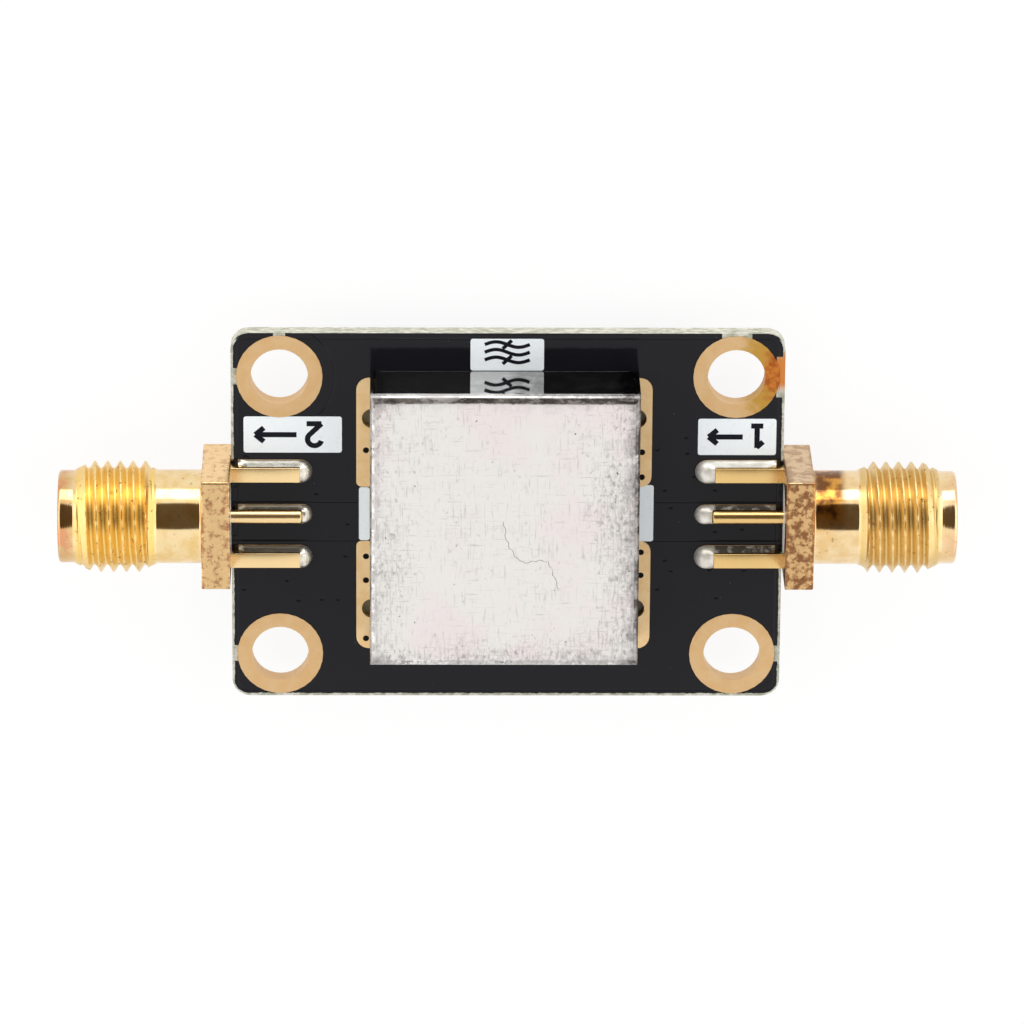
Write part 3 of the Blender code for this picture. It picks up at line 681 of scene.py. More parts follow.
def clean_gold(wear, zones, cloud, front_face):
    """The plate's colours: a cloud of two golds, then a gold for each zone, with painted shade in the
    thread's roots and painted light on the flange's front face.
    """
    legs_zone, flange, _, thread, roots, nose = zones
    gold = blend_colour(step_up(cloud, 0.35, 0.65), *wear["gold"])
    # Painted shade: the thread's roots take the deeper thread gold in full, the crests only part of it.
    gold = blend_colour(largest(roots, thread * 0.6), gold, wear["thread"])
    gold = blend_colour(nose * 0.7, gold, wear["nose_gold"])
    gold = blend_colour(flange, gold, wear["flange_gold"])
    # Painted light: the flange's front face, turned towards the softbox, gets a lighter gold than its other
    # faces.
    gold = blend_colour(flange * front_face, gold, wear["lit_front_gold"])
    return blend_colour(legs_zone, gold, wear["leg_gold"])


def jack_finish(side):
    made, tree, shader = finish("turned_gold_" + side, srgb(244, 214, 154), 0.15, 1.0)
    wear = WEAR[side]
    point = millimetres(tree)
    x, y, z = xyz(point)
    out, off_y = x * SIDES[side], y - AXIS_Y
    zones = jack_zones(out, distance(off_y, z - AXIS_Z))
    legs_zone, flange, heel, thread, _, nose = zones
    rings = noise(millimetres(tree, (14, 0.2, 0.2)), 1.0, 4)
    cloud = noise(point, 0.9, 3)
    blotch = noise(point, 2.2, 5, 0.62)
    front_face = step_up(normal(tree)[1], -0.6, -0.9)
    gold = clean_gold(wear, zones, cloud, front_face)
    kept = 0.9 - front_face * 0.45
    middle = band(out, FACE + 0.12, FACE + FLANGE_DEEP - 0.1, 0.08)
    uneven = blotch + (1.0 - middle) * 0.07
    worn = step_up(uneven, *wear["flange"]) * (flange * kept)
    gold = blend_colour(worn, gold, wear["worn"])
    pink = step_up(noise(point, 0.8, 4), 0.44, 0.58) * nose
    gold = blend_colour(pink * wear["pink"], gold, srgb(222, 154, 112))
    if side == "input":
        burnt = heel * step_up(off_y, 0.2, -1.0) * step_up(cloud, 0.2, 0.5)
        deep = step_up(cloud, 0.46, 0.62)
        gold = blend_colour(burnt * 0.95, gold, blend_colour(deep, srgb(212, 148, 62), srgb(112, 62, 26)))
    places = largest(thread, largest(nose, heel) * 0.6, flange * 0.8)
    spots = step_up(noise(point, 3.4, 4, 0.6), *wear["spots"]) * places
    gold = blend_colour(spots * 0.75, gold, srgb(110, 66, 32))
    wire(gold, shader, "Base Color")
    rough = rings * 0.06 + largest(flange, legs_zone) * 0.14 + thread * 0.24
    dirty = largest(worn, spots) * 0.25
    wire(rough + dirty + 0.07, shader, "Roughness")
    relief(shader, rings * 0.4 + blotch * (flange + 0.15), 0.012)
    return made


JACK_GOLD = {side: jack_finish(side) for side in SIDES}
for side, sign in SIDES.items():
    shells = [shell(at_end(grid, sign), wrap_rows=True, wrap_columns=True)]
    shells += [shell(at_end(leg, sign), wrap_columns=True) for leg in legs()]
    piece(side + "_jack_turned", shells, JACK_GOLD[side], [side + "_jack"])

# %% [markdown]
# ## Centre contacts and their white beads
#
# Behind, the contact is a pin that lies on the board. In front it is a socket with four springy tines,
# which two crossed saw cuts leave. Each tine is a quarter of a turned ring: a closed profile carried round
# less than a quarter turn, with its two ends closed.


# %% Turned bodies and ring sectors
PIN_RADIUS, SOCKET_RADIUS, SOCKET_BORE = 0.4, 0.635, 0.465
SOCKET_LONG, TINE_LONG, SAW_CUT = 3.1, 1.9, 0.14
PIN_ROUND, LIP_ROUND, EDGE_CUT = 0.14, 0.06, 0.035


def turned(profile, count=72):
    """Profile points (along the axis, radius) carried right round. Rows are the profile, columns the turn."""
    angle = np.linspace(0, 2 * np.pi, count, endpoint=False)
    along, radius = np.array(profile, float).T
    spread = np.broadcast_to(along[:, None], (len(along), count))
    return np.stack([spread, radius[:, None] * np.cos(angle), radius[:, None] * np.sin(angle)], axis=-1)


def sector(profile, start, end, count=14):
    """A closed profile carried between two angles in radians, and drawn to its middle at both ends."""
    along, radius = np.array(profile, float).T
    middle = np.full_like(along, along.mean()), np.full_like(radius, radius.mean())
    rows = [(*middle, start)]
    rows += [(along, radius, angle) for angle in np.linspace(start, end, count)]
    rows += [(*middle, end)]
    return np.stack([np.stack([a, r * np.cos(t), r * np.sin(t)], axis=-1) for a, r, t in rows])


def contact_grids():
    """The pin with a rounded end, the socket's root, and four tines in front."""
    front = MOUTH_FLOOR - 0.05
    back, root = front - SOCKET_LONG, front - TINE_LONG
    tip = arc((-PIN_LONG + PIN_ROUND, PIN_RADIUS - PIN_ROUND), PIN_ROUND, 180, 90, 5).tolist()
    shoulder = [(back, PIN_RADIUS), (back, SOCKET_RADIUS - EDGE_CUT), (back + EDGE_CUT, SOCKET_RADIUS)]
    pin = [(-PIN_LONG, 0), *tip, *shoulder, (root, SOCKET_RADIUS), (root, 0)]
    lip = arc((front - LIP_ROUND, SOCKET_RADIUS - LIP_ROUND), LIP_ROUND, 90, 0, 4).tolist()
    inside = [(front, SOCKET_BORE + EDGE_CUT), (front - EDGE_CUT, SOCKET_BORE), (root - 0.2, SOCKET_BORE)]
    tine = [(root - 0.2, SOCKET_RADIUS), *lip, *inside]
    half_cut = SAW_CUT / 2 / ((SOCKET_RADIUS + SOCKET_BORE) / 2)
    starts = np.arange(4) * np.pi / 2
    return [turned(pin), *[sector(tine, start + half_cut, start + np.pi / 2 - half_cut) for start in starts]]


for side, sign in SIDES.items():
    shells = [shell(at_end(points, sign), wrap_columns=True) for points in contact_grids()]
    piece(side + "_contact_turned", shells, JACK_GOLD[side], [side + "_contact"])

# %% [markdown]
# The bead is a white plastic ring. Its CAD shape is right, so it only needs a waxy finish, with a little
# light passing under its surface.

# %% White bead
bead, tree, shader = finish("white_bead", srgb(232, 230, 222), 0.42)
shader.inputs["Subsurface Weight"].default_value = 0.25
shader.inputs["Subsurface Scale"].default_value = 0.0003
clouded(tree, shader, srgb(222, 219, 208), srgb(240, 239, 233), 1.5)
relief(shader, noise(millimetres(tree), 12, 2), 0.004)
for side in SIDES:
    dress(side + "_insulator", bead)
print("bead finish:", bead.name)

# %% [markdown]
# ## Set solder
#
# Solder wets the land out to its edge and climbs the metal that it holds. Beside a leg it is a hollow fillet.
# Past the leg's end it is a dome. The surface is a height over the land, on a grid whose rows run from the
# land's rim to its spine and whose columns follow the rim round the nose. The strips beside the legs are
# darkened with painted shade, most of all at the input.


# %% Solder as a height over the land
def smooth_between(value, low, high):
    """0 below low, 1 above high, and a smooth cubic between."""
    t = np.clip((value - low) / (high - low), 0, 1)
    return t * t * (3 - 2 * t)


def rim(length, half_width, start, count):
    """The land's outline from the board's edge, round the nose and back, with the spine point for each."""
    nose_x = -GAP - length + half_width
    straight = np.linspace(start, nose_x, count)
    turn = np.linspace(np.pi / 2, 3 * np.pi / 2, count // 2 + 2)[1:-1]
    x = np.concatenate([straight, nose_x + half_width * np.cos(turn), straight[::-1]])
    side = np.full(count, half_width)
    y = np.concatenate([side, half_width * np.sin(turn), -side])
    return np.stack([x, y], axis=1), np.stack([np.maximum(x, nose_x), np.zeros_like(x)], axis=1)


def solder_shell(length, half_width, metal_half, metal_end, climb, dome, start=-0.42):
    """Height: a fillet from the metal's side down to the rim, turning to a dome past the metal's end."""
    outline, spine = rim(length, half_width, start, 40)
    t = np.sin(np.linspace(0, np.pi / 2, 15))[:, None, None]
    xy = outline + (spine - outline) * t
    rho = 1 - t[..., 0] * np.ones(len(outline))
    edge = (1 - rho) / (1 - metal_half / half_width)
    fillet = climb * np.clip(edge, 0, 1.25) ** 1.5
    rounded = dome * np.sqrt(np.clip(1 - rho**2.2, 0, 1))
    past = smooth_between(metal_end + 0.1 - xy[..., 0], 0, 0.3)
    rising = smooth_between(start - xy[..., 0], 0.0, 0.55)
    height = (fillet * (1 - past) + rounded * past) * (0.25 + 0.75 * rising)
    top = np.concatenate([xy, height[..., None]], axis=-1)
    floor = np.concatenate([xy, np.full_like(height, -0.005)[..., None]], axis=-1)
    return np.concatenate([top[::-1], floor])


# %% Bright and frosted solder
def solder_finish(name, light, dark, roughness, metallic, depth, flux_and_painted_shade):
    """Two shades of tin. The last argument, from 0 to 1, is how much painted shade darkens the strips beside
    the legs.
    """
    made, tree, shader = finish(name, light, roughness, metallic)
    point = millimetres(tree)
    x, y, _ = xyz(point)
    cloud, grain = noise(point, 1.8, 3), noise(point, 8, 3)
    tin = blend_colour(step_up(cloud, 0.35, 0.7), dark, light)
    # Painted shade: a ragged dark strip on the solder between each leg and the land's edge, strongest at the
    # input.
    beside_leg = step_up(abs(x), 11.5, 11.7) * step_up(y, -2.9, -1.5)
    painted_shade_strip = beside_leg * step_up(cloud, 0.3, 0.5)
    wire(blend_colour(painted_shade_strip * flux_and_painted_shade, tin, srgb(58, 54, 48)), shader, "Base Color")
    wire(grain * 0.15 + (roughness - 0.08), shader, "Roughness")
    relief(shader, grain + cloud * 3.0, depth)
    return made


BRIGHT_TIN = srgb(246, 243, 234), srgb(220, 214, 198)
FROSTED_TIN = srgb(250, 248, 240), srgb(226, 221, 210)
SOLDER = {
    "output": solder_finish("solder_bright", *BRIGHT_TIN, 0.24, 0.85, depth=0.004, flux_and_painted_shade=0.4),
    "input": solder_finish("solder_frosted", *FROSTED_TIN, 0.42, 0.5, depth=0.006, flux_and_painted_shade=0.9),
}
LAND_LONG = {"input": 4.93, "output": 4.53}
LEG_LAND, PIN_LAND = 0.66, 0.55  # half widths
HOLD = 0.01  # solder keeps this far from the metal that it holds


# %% Solder on every leg and pin
def lift(points, base, up=1):
    """Stands a mound on the board's top, or hangs it from its underside."""
    raised = points.copy()
    raised[..., 2] = base - AXIS_Z + up * points[..., 2]
    return raised


def solder_joint(name, side, mound, under=False):
    """One soldered leg or pin: its mound on the land, at one end of the board."""
    level = COPPER + HOLD
    raised = lift(mound, UNDERSIDE - level, -1) if under else lift(mound, MASK + level)
    points = at_end(raised, SIDES[side])
    piece(name + "_set", [shell(points, wrap_columns=True)], SOLDER[side], [name], sharp=60)


for side, sign in SIDES.items():
    leg_mound = solder_shell(
        LAND_LONG[side], LEG_LAND, metal_half=LEG_WIDE / 2, metal_end=-LEG_LONG, climb=0.5, dome=0.62
    )
    for end, facing in ((-1, "front"), (1, "back")):
        beside = leg_mound + np.array([0, sign * end * LEG_OFF, 0])
        solder_joint("solder_" + side + "_" + facing, side, beside)
        solder_joint("solder_" + side + "_under_" + facing, side, beside, under=True)
    pin_mound = solder_shell(
        LAND_LONG[side], PIN_LAND, metal_half=0.36, metal_end=-PIN_LONG, climb=0.34, dome=0.5
    )
    solder_joint("solder_" + side + "_signal", side, pin_mound)

# %% [markdown]
# ## The shield can
#
# The can is cut from thin tinned sheet and folded. Its two end walls run the full depth, so their cut ends
# show from the front. The front and back flaps sit between them and leave a thin open seam at each corner.
# The top and its bends are one height field: flat, then a quarter ellipse down on every side. The walls are
# thin plates with softened rims.

# %% The can's top and bends
SHEET = 0.2
BEND = 0.42  # how far every bend comes down
SIDE_REACH, FRONT_REACH = 0.34, 0.65  # how far the bends reach onto the top
CAN_X, CAN_Y = (can_low[0] + can_high[0]) / 2, (can_low[1] + can_high[1]) / 2
CAN_HALF = np.array([can_high[0] - can_low[0], can_high[1] - can_low[1]]) / 2
CAN_TOP = can_high[2]
SEAM = 0.07  # left open between a flap and an end wall
TAB_OFF, TAB_HALF = 5.66, 0.4  # from the axis to the middle of each tab, and half its width
WALL_X = {sign: CAN_X + sign * (CAN_HALF[0] - SHEET / 2) for sign in (-1, 1)}


def bend_lines(half, reach, count=9):
    """Grid lines across the can: close together in the bends, wide apart on the flat."""
    bend = half - reach + reach * np.sin(np.linspace(np.pi / 2, 0, count))
    flat = np.linspace(-half + reach, half - reach, 24)
    return np.concatenate([-bend[:-1], flat, bend[:-1][::-1]])


def sag(x, y):
    """The top is never quite flat: a slow wave both ways, never above its full height."""
    return 0.012 * np.sin(x * 0.55 + 0.6) * np.cos(y * 0.47 + 0.3) - 0.012


def can_top():
    """A quarter ellipse for each bend: the drop is its depth times one less the root of one less q squared.

    Here q is the way into the bend, from 0 on the flat to 1 at the wall.
    """
    across, along = bend_lines(CAN_HALF[0], SIDE_REACH), bend_lines(CAN_HALF[1], FRONT_REACH)
    x, y = np.meshgrid(across, along, indexing="ij")
    way_x = np.clip(np.abs(x) - CAN_HALF[0] + SIDE_REACH, 0, SIDE_REACH) / SIDE_REACH
    way_y = np.clip(np.abs(y) - CAN_HALF[1] + FRONT_REACH, 0, FRONT_REACH) / FRONT_REACH
    way = np.maximum(way_x, way_y)
    drop = BEND * (1 - np.sqrt(np.maximum(1 - way**2, 0)))
    z = CAN_TOP - drop + sag(x, y) * (1 - way)
    outer = np.stack([CAN_X + x, CAN_Y + y, z], axis=-1)
    inner_scale = (CAN_HALF - SHEET) / CAN_HALF
    inner = np.stack([CAN_X + x * inner_scale[0], CAN_Y + y * inner_scale[1], z - SHEET], axis=-1)
    return outer, inner


def sheet_shell(outer, inner):
    """Closes two facing grids into one body with a band of faces round their rims."""
    rows, columns = outer.shape[:2]
    points = np.concatenate([outer.reshape(-1, 3), inner.reshape(-1, 3)])
    index = np.arange(rows * columns).reshape(rows, columns)
    loop = np.concatenate([index[0, :-1], index[:-1, -1], index[-1, :0:-1], index[:0:-1, 0]])
    after = np.roll(loop, -1)
    edges = np.stack([loop, after, after + rows * columns, loop + rows * columns], axis=1)
    cells = quads(rows, columns)
    return points, np.concatenate([cells, cells + rows * columns, edges])


# %% The can's walls and tabs
def slab(x, y, z, radius=0.03):
    """A plate between three pairs of limits, with slightly round edges, standing on its x limits."""
    body = bar(0, x[1] - x[0], 0, 0, y[1] - y[0], z[1] - z[0], min(radius, (x[1] - x[0]) / 2.2))
    middle = np.array([x[0], (y[0] + y[1]) / 2, (z[0] + z[1]) / 2])
    return shell(body + middle, wrap_columns=True)


def wall_loop(half, low, high, corner, count):
    """A wall's outline, from its top corner round its two rounded lower corners: offsets and heights."""
    turn = np.linspace(0, np.pi / 2, count)
    right_x, right_z = half - corner + corner * np.sin(turn), low + corner - corner * np.cos(turn)
    x = np.concatenate([[-half], -right_x[::-1], right_x, [half]])
    z = np.concatenate([[high], right_z[::-1], right_z, [high]])
    return x, z


def flap(face_y, inward):
    """A front or back wall between the open seams: its outline drawn in to the middle on both faces."""
    half, low, high = CAN_HALF[0] - SHEET - SEAM, MASK + SEAT, CAN_TOP - BEND
    x, z = wall_loop(half, low, high, 0.25, 6)
    middle = (low + high) / 2
    broken = 0.025
    narrow, short = 1 - broken / half, 1 - 2 * broken / (high - low)
    rows = []
    for depth, width, height in ((0, 0, 0), (0, narrow, short), (broken, 1, 1), (SHEET, 1, 1), (SHEET, 0, 0)):
        y = np.full_like(x, face_y + inward * depth)
        rows.append(np.stack([CAN_X + x * width, y, middle + (z - middle) * height], axis=1))
    return shell(np.stack(rows), wrap_columns=True)


def can_walls():
    """Two end walls, two flaps and four tabs."""
    shells = []
    for middle in WALL_X.values():
        x = (middle - SHEET / 2, middle + SHEET / 2)
        shells.append(slab(x, (can_low[1], can_high[1]), (MASK + SEAT, CAN_TOP - BEND + 0.02)))
        for y in (AXIS_Y - TAB_OFF, AXIS_Y + TAB_OFF):
            shells.append(slab(x, (y - TAB_HALF, y + TAB_HALF), (can_low[2], MASK + 0.3), 0.02))
    return [*shells, flap(can_low[1], 1), flap(can_high[1], -1)]


# %% [markdown]
# The top is matte, handled tin: pale and warm, with fine scratches both ways, grey specks, a few dark pits
# and darker rims that are part rubbed wear and part painted shade, darkest on the input's side. The bends are
# brighter, with a painted dark reflection along the front bend, grey specks and dull patches. The walls were
# never touched and are nearly mirrors. The same sheet serves all of them, so the graph makes the wear and the
# painted shade depend on how much the surface faces up.


# %% Worn and bright tin
def can_wear(tree, point, x, y):
    """Specks, scratches both ways and dark rims of the top, each a noise: specks and scratches are kept where
    handling reached, and the rims are part wear and part painted shade.
    """
    off_x = (x - CAN_X) / CAN_HALF[0]
    off_y = (y - CAN_Y) / CAN_HALF[1]
    input_strip, output_strip = step_up(off_x, -0.5, -0.95), step_up(off_x, 0.55, 1.0)
    strips = largest(input_strip, output_strip * 0.72, step_up(off_y, 0.7, 1.0))
    patches = (noise(point, 0.33, 3) - 0.5) * 0.3
    worn_here = strips * 0.15 - 0.03 + patches
    fine = noise(millimetres(tree, (1.2, 0.75, 1)), 4.0, 5, 0.66) + worn_here
    down = noise(millimetres(tree, (9, 0.8, 1)), 1.0, 4) + worn_here * 0.8
    across = noise(millimetres(tree, (0.8, 9, 1)), 1.0, 4) + worn_here * 0.6
    lines = largest(step_up(down, 0.52, 0.78), step_up(across, 0.54, 0.8))
    ragged = (noise(point, 1.1, 5, 0.7) - 0.5) * 0.34
    # The rims are part rubbed wear and part painted shade, strongest on the input side.
    input_rim = step_up(ragged - off_x, 0.87, 1.0)
    output_rim = step_up(off_x + ragged, 0.9, 1.02)
    front_rim = step_up(ragged - off_y, 0.88, 1.04)
    corners = step_up(abs(off_x) + abs(off_y) + ragged, 1.76, 1.94)
    rims = largest(input_rim, output_rim * 0.6, front_rim * 0.6, corners)
    return step_up(fine, 0.54, 0.8), lines, rims


def handled_top(point, specks, lines, rims):
    """Colour of the top, and the marks that lie deeper than the rest."""
    pinkish = step_up(noise(point, 0.22, 3), 0.42, 0.62)
    tin = blend_colour(pinkish, srgb(231, 228, 225), srgb(232, 224, 223))
    marks = largest(specks * 0.66, lines * 0.42)
    tin = blend_colour(marks, tin, srgb(122, 116, 112))
    pits = step_up(noise(point, 2.6, 1), 0.77, 0.8)
    tin = blend_colour(pits * 0.85, tin, srgb(58, 54, 54))
    # The rims darken the top's edges with a colour that is part wear and part painted shade.
    dark_rim_colour = blend_colour(specks, srgb(112, 106, 106), srgb(70, 66, 66))
    return blend_colour(rims * 0.6, tin, dark_rim_colour), largest(marks, pits)


def bright_sides(tree, x, y, upright, specks, rims, rubbed):
    """Colour of walls and bends: bright, with dark rims of wear and painted shade, a painted dark reflection
    along the front bend and rubbed patches.
    """
    input_side = step_up(x, CAN_X, CAN_X - 1)
    # Rims on walls and bends are part wear and part painted shade. The next line darkens them further on the
    # input side as painted shade.
    tin = blend_colour(rims * 0.7, srgb(238, 236, 233), srgb(104, 100, 100))
    tin = blend_colour(input_side * rims, tin, srgb(66, 62, 62))
    front = CAN_Y - CAN_HALF[1]
    front_bend = band(upright, 0.78, 0.985, 0.03) * step_up(y, front + 0.75, front + 0.65)
    # Painted reflection: a ragged dark line along the front bend, where the bend mirrors the tent's dark
    # opening.
    painted_dark_reflection = step_up(noise(millimetres(tree, (0.5, 1.4, 1)), 1.3, 5, 0.7), 0.3, 0.62)
    tin = blend_colour(front_bend * painted_dark_reflection, tin, srgb(92, 86, 84))
    specks_on_bend = band(upright, 0.15, 0.97, 0.05) * specks
    tin = blend_colour(specks_on_bend * 0.9, tin, srgb(110, 106, 104))
    return blend_colour(rubbed * 0.7, tin, srgb(168, 163, 160))


def can_finish():
    made, tree, shader = finish("tinned_sheet", srgb(236, 232, 228), 0.3, 1.0)
    point = millimetres(tree)
    x, y, _ = xyz(point)
    upright = normal(tree)[2]
    frayed = (noise(point, 2.2, 5, 0.7) - 0.5) * 0.06
    top = step_up(upright + frayed, 0.965, 0.995)
    bend = band(upright, 0.1, 0.99, 0.05)
    specks, lines, rims = can_wear(tree, point, x, y)
    rubbed = step_up(noise(millimetres(tree, (0.6, 1, 1)), 1.1, 5, 0.7), 0.44, 0.6)
    rubbed = rubbed * band(upright, 0.2, 0.985, 0.03)
    grey, deep = handled_top(point, specks, lines, rims)
    bright = bright_sides(tree, x, y, upright, specks, rims, rubbed)
    wire(blend_colour(top, bright, grey), shader, "Base Color")
    less = largest(top * 0.65, bend * 0.2, rubbed * 0.7)
    lint = step_up(noise(point, 6, 3), 0.66, 0.78) * 0.12
    wire(0.988 - less - lint, shader, "Metallic")
    wire(top * 0.45 + bend * 0.14 + 0.045, shader, "Roughness")
    relief(shader, noise(point, 0.8, 2) * 0.5 - deep * top, 0.008)
    return made


outer, inner = can_top()
shells = [sheet_shell(outer, inner), *can_walls()]
piece("shield_can_folded", shells, can_finish(), ["shield_can"], sharp=33)

# %% [markdown]
# ## Printed marks
#
# White boxes name the two ports and the kind of filter, and two plain white strips lie beside the can. They
# are ink a few hundredths of a millimetre thick, with the marks left dark. The marks here are plain: a port
# number with an arrow along the signal's way, and the usual sign for a band-pass filter, three waves of which
# the outer two are struck through.


# %% Ink shapes
def plate_grid(x, y, low, high, corner=0.14):
    """A flat box of ink with round corners: one closed grid of four loops."""
    middle = np.array([(x[0] + x[1]) / 2, (y[0] + y[1]) / 2])
    rim_points = rounded_loop(x[1] - x[0], y[1] - y[0], corner) + middle
    centre = middle * np.ones_like(rim_points)
    loops = [(centre, low), (rim_points, low), (rim_points, high), (centre, high)]
    return np.stack([np.column_stack([xy, np.full(len(xy), z)]) for xy, z in loops])


def stroke(path, width, low, high):
    """A ribbon along a path of points: each point is moved sideways, square to the path, by half the width.

    Its first and last loops are drawn in to their middles, which closes both ends.
    """
    path = np.array(path, float)
    ahead = np.gradient(path, axis=0)
    ahead /= np.linalg.norm(ahead, axis=1)[:, None]
    side = np.stack([-ahead[:, 1], ahead[:, 0]], axis=1) * width / 2
    left, right = path + side, path - side
    loops = [(left, low), (right, low), (right, high), (left, high)]
    ribbon = np.stack([np.column_stack([xy, np.full(len(path), z)]) for xy, z in loops])
    ends = [np.broadcast_to(ribbon[:, end].mean(axis=0), (4, 1, 3)) for end in (0, -1)]
    return np.concatenate([ends[0], ribbon, ends[1]], axis=1)


INK_LOW, INK_HIGH = MASK + 0.002, MASK + 0.022
LABELS = {
    "output_label": ((9.23, 14.70), (-5.89, -3.76)),
    "input_label": ((-14.97, -10.61), (-5.79, -3.65)),
    "kind_label": ((-1.99, 2.09), (-10.48, can_low[1] - 0.03)),
    "output_strip": ((can_high[0] + 0.02, 8.28), (-1.71, 1.45)),
    "input_strip": ((-8.18, can_low[0] - 0.02), (-1.85, 1.50)),
}


# %% White ink and dark marks
def ink_finish(name, light, dark, ior=1.45):
    made, tree, shader = finish(name, light, 0.45, IOR=ior)
    point = millimetres(tree)
    wire(blend_colour(step_up(noise(point, 5, 4), 0.55, 0.8), light, dark), shader, "Base Color")
    relief(shader, noise(point, 9, 3), 0.004)
    return made


WHITE_INK = ink_finish("white_ink", srgb(244, 251, 255), srgb(230, 238, 243))
DARK_INK = ink_finish("mask_in_marks", srgb(18, 21, 30), srgb(30, 33, 42), 1.2)
for name, (x, y) in LABELS.items():
    piece(name, [shell(plate_grid(x, y, INK_LOW, INK_HIGH), wrap_columns=True)], WHITE_INK)


# %% Marks on the labels
def wave(centre, length, height):
    """One full sine wave as a path."""
    t = np.linspace(0, 1, 25)
    return np.stack([centre[0] + (t - 0.5) * length, centre[1] + height * np.sin(2 * np.pi * t)], axis=1)


def smooth_path(points, count=40):
    """Evenly spaced points along a polygon of corners."""
    points = np.array(points, float)
    steps = np.concatenate([[0], np.cumsum(np.linalg.norm(np.diff(points, axis=0), axis=1))])
    t = np.linspace(0, steps[-1], count)
    return np.stack([np.interp(t, steps, points[:, 0]), np.interp(t, steps, points[:, 1])], axis=1)


def numeral_two(x, y, size):
    """A bow over the top, a slant down to the left, and a foot."""
    angle = np.radians(np.linspace(165, -35, 18))
    bow = np.stack([x + 0.3 * size * np.cos(angle), y + 0.2 * size + 0.3 * size * np.sin(angle)], axis=1)
    slant = np.array([(x - 0.3 * size, y - 0.5 * size)])
    foot = [(x - 0.3 * size, y - 0.5 * size), (x + 0.34 * size, y - 0.5 * size)]
    return [smooth_path(np.concatenate([bow, slant])), smooth_path(foot, 6)]


def numeral_one(x, y, size):
    """A flag, a stem and a foot."""
    stem = [(x, y - 0.5 * size), (x, y + 0.5 * size)]
    flag = [(x + 0.02 * size, y + 0.48 * size), (x - 0.26 * size, y + 0.22 * size)]
    foot = [(x - 0.26 * size, y - 0.5 * size), (x + 0.26 * size, y - 0.5 * size)]
    return [smooth_path(path, 6) for path in (stem, flag, foot)]


def arrow(x, y, length, size):
    """A shaft and two barbs, pointing along +x."""
    end = x + length / 2
    shaft = [(x - length / 2, y), (end, y)]
    barbs = [[(end - 0.4 * size, y + way * 0.34 * size), (end, y)] for way in (-1, 1)]
    return [smooth_path(path, 6) for path in (shaft, *barbs)]


def marks(name, paths, width):
    """Dark ribbons on a label, each a thousandth higher than the one before, so none share a plane."""
    tops = INK_HIGH + 0.003 + 0.001 * np.arange(len(paths))
    ribbons = [stroke(path, width, INK_HIGH - 0.004, top) for path, top in zip(paths, tops)]
    piece(name, [shell(ribbon, wrap_rows=True) for ribbon in ribbons], DARK_INK)


marks("output_marks", numeral_two(10.75, -4.82, 1.3) + arrow(12.9, -4.82, 2.3, 1.2), 0.3)
marks("input_marks", numeral_one(-13.9, -4.72, 1.3) + arrow(-12.15, -4.72, 1.9, 1.2), 0.3)
waves = [wave((0.05, y), 2.5, 0.16) for y in (-10.15, -9.7, -9.25)]
strikes = [smooth_path([(-0.2, y - 0.24), (0.3, y + 0.24)], 6) for y in (-10.15, -9.25)]
marks("kind_marks", waves + strikes, 0.2)

# %% [markdown]
# The cut edge of the front wall catches the light all round, so it shows as a fine pale outline on black.
# It is the same kind of ribbon, stood on edge: its height and its depth change places.

# %% The front wall's pale cut edge
outline = wall_loop(CAN_HALF[0] - SHEET - SEAM - 0.05, MASK + SEAT + 0.03, CAN_TOP - BEND, 0.3, 8)
edge_line = stroke(np.stack(outline, axis=1), 0.03, can_low[1] + 0.02, can_low[1] + 0.001)[..., [0, 2, 1]]
edge_line[..., 0] += CAN_X
CUT_EDGE = ink_finish("cut_tin_edge", srgb(196, 196, 198), srgb(104, 104, 108))
piece("can_edge_line", [shell(edge_line, wrap_rows=True)], CUT_EDGE)

# %% [markdown]
# One longer scratch wanders over the can's top. It is a ribbon finer than a hair that follows the slow wave
# of the sheet.

# %% The wandering scratch
scratch = [(0.26, -1.23), (0.09, -0.13), (-0.35, 0.79), (-0.87, 1.2), (-1.73, 1.07), (-2.25, 1.12)]
path = smooth_path([*scratch, (-2.82, 2.73)], 60)
path = path + 0.05 * np.sin(np.arange(60)[:, None] * np.array([0.9, 1.3]))
ribbon = stroke(path, 0.035, 0, 0)
on_sheet = CAN_TOP + sag(ribbon[..., 0] - CAN_X, ribbon[..., 1] - CAN_Y)
ribbon[..., 2] = on_sheet + np.array([-0.02, -0.02, 0.0, 0.0])[:, None]
SCRATCHED = ink_finish("scratched_tin", srgb(128, 122, 118), srgb(196, 190, 186))
piece("can_scratch", [shell(ribbon, wrap_rows=True)], SCRATCHED)

# %% [markdown]
# ## Holes in the pad strips
#
# The via holes are filled, so each shows as a black dot. The holes for the can's tabs are open: a thin gold
# wall with dull set flux at its foot. Dots, walls and flux are all stacks of level circles.


# %% Dots, hole walls and flux
def circles(x, y, loops, count):
    """Level circles about one upright axis, one for each pair of radius and height."""
    angle = np.linspace(0, 2 * np.pi, count, endpoint=False)
    radius, height = np.array(loops, float).T[:, :, None]
    rows = [x + radius * np.cos(angle), y + radius * np.sin(angle), height * np.ones(count)]
    return np.stack(rows, axis=-1)


def disc_grid(x, y, radius, low, high):
    """A short upright cylinder as one grid: middle, rim, rim, middle."""
    return circles(x, y, [(0, low), (radius, low), (radius, high), (0, high)], 32)


def tube_grid(x, y, inner, outer, low, high):
    """A short upright tube: inner rim, outer rim, and back, closed on itself."""
    return circles(x, y, [(inner, high), (outer, high), (outer, low), (inner, low)], 40)


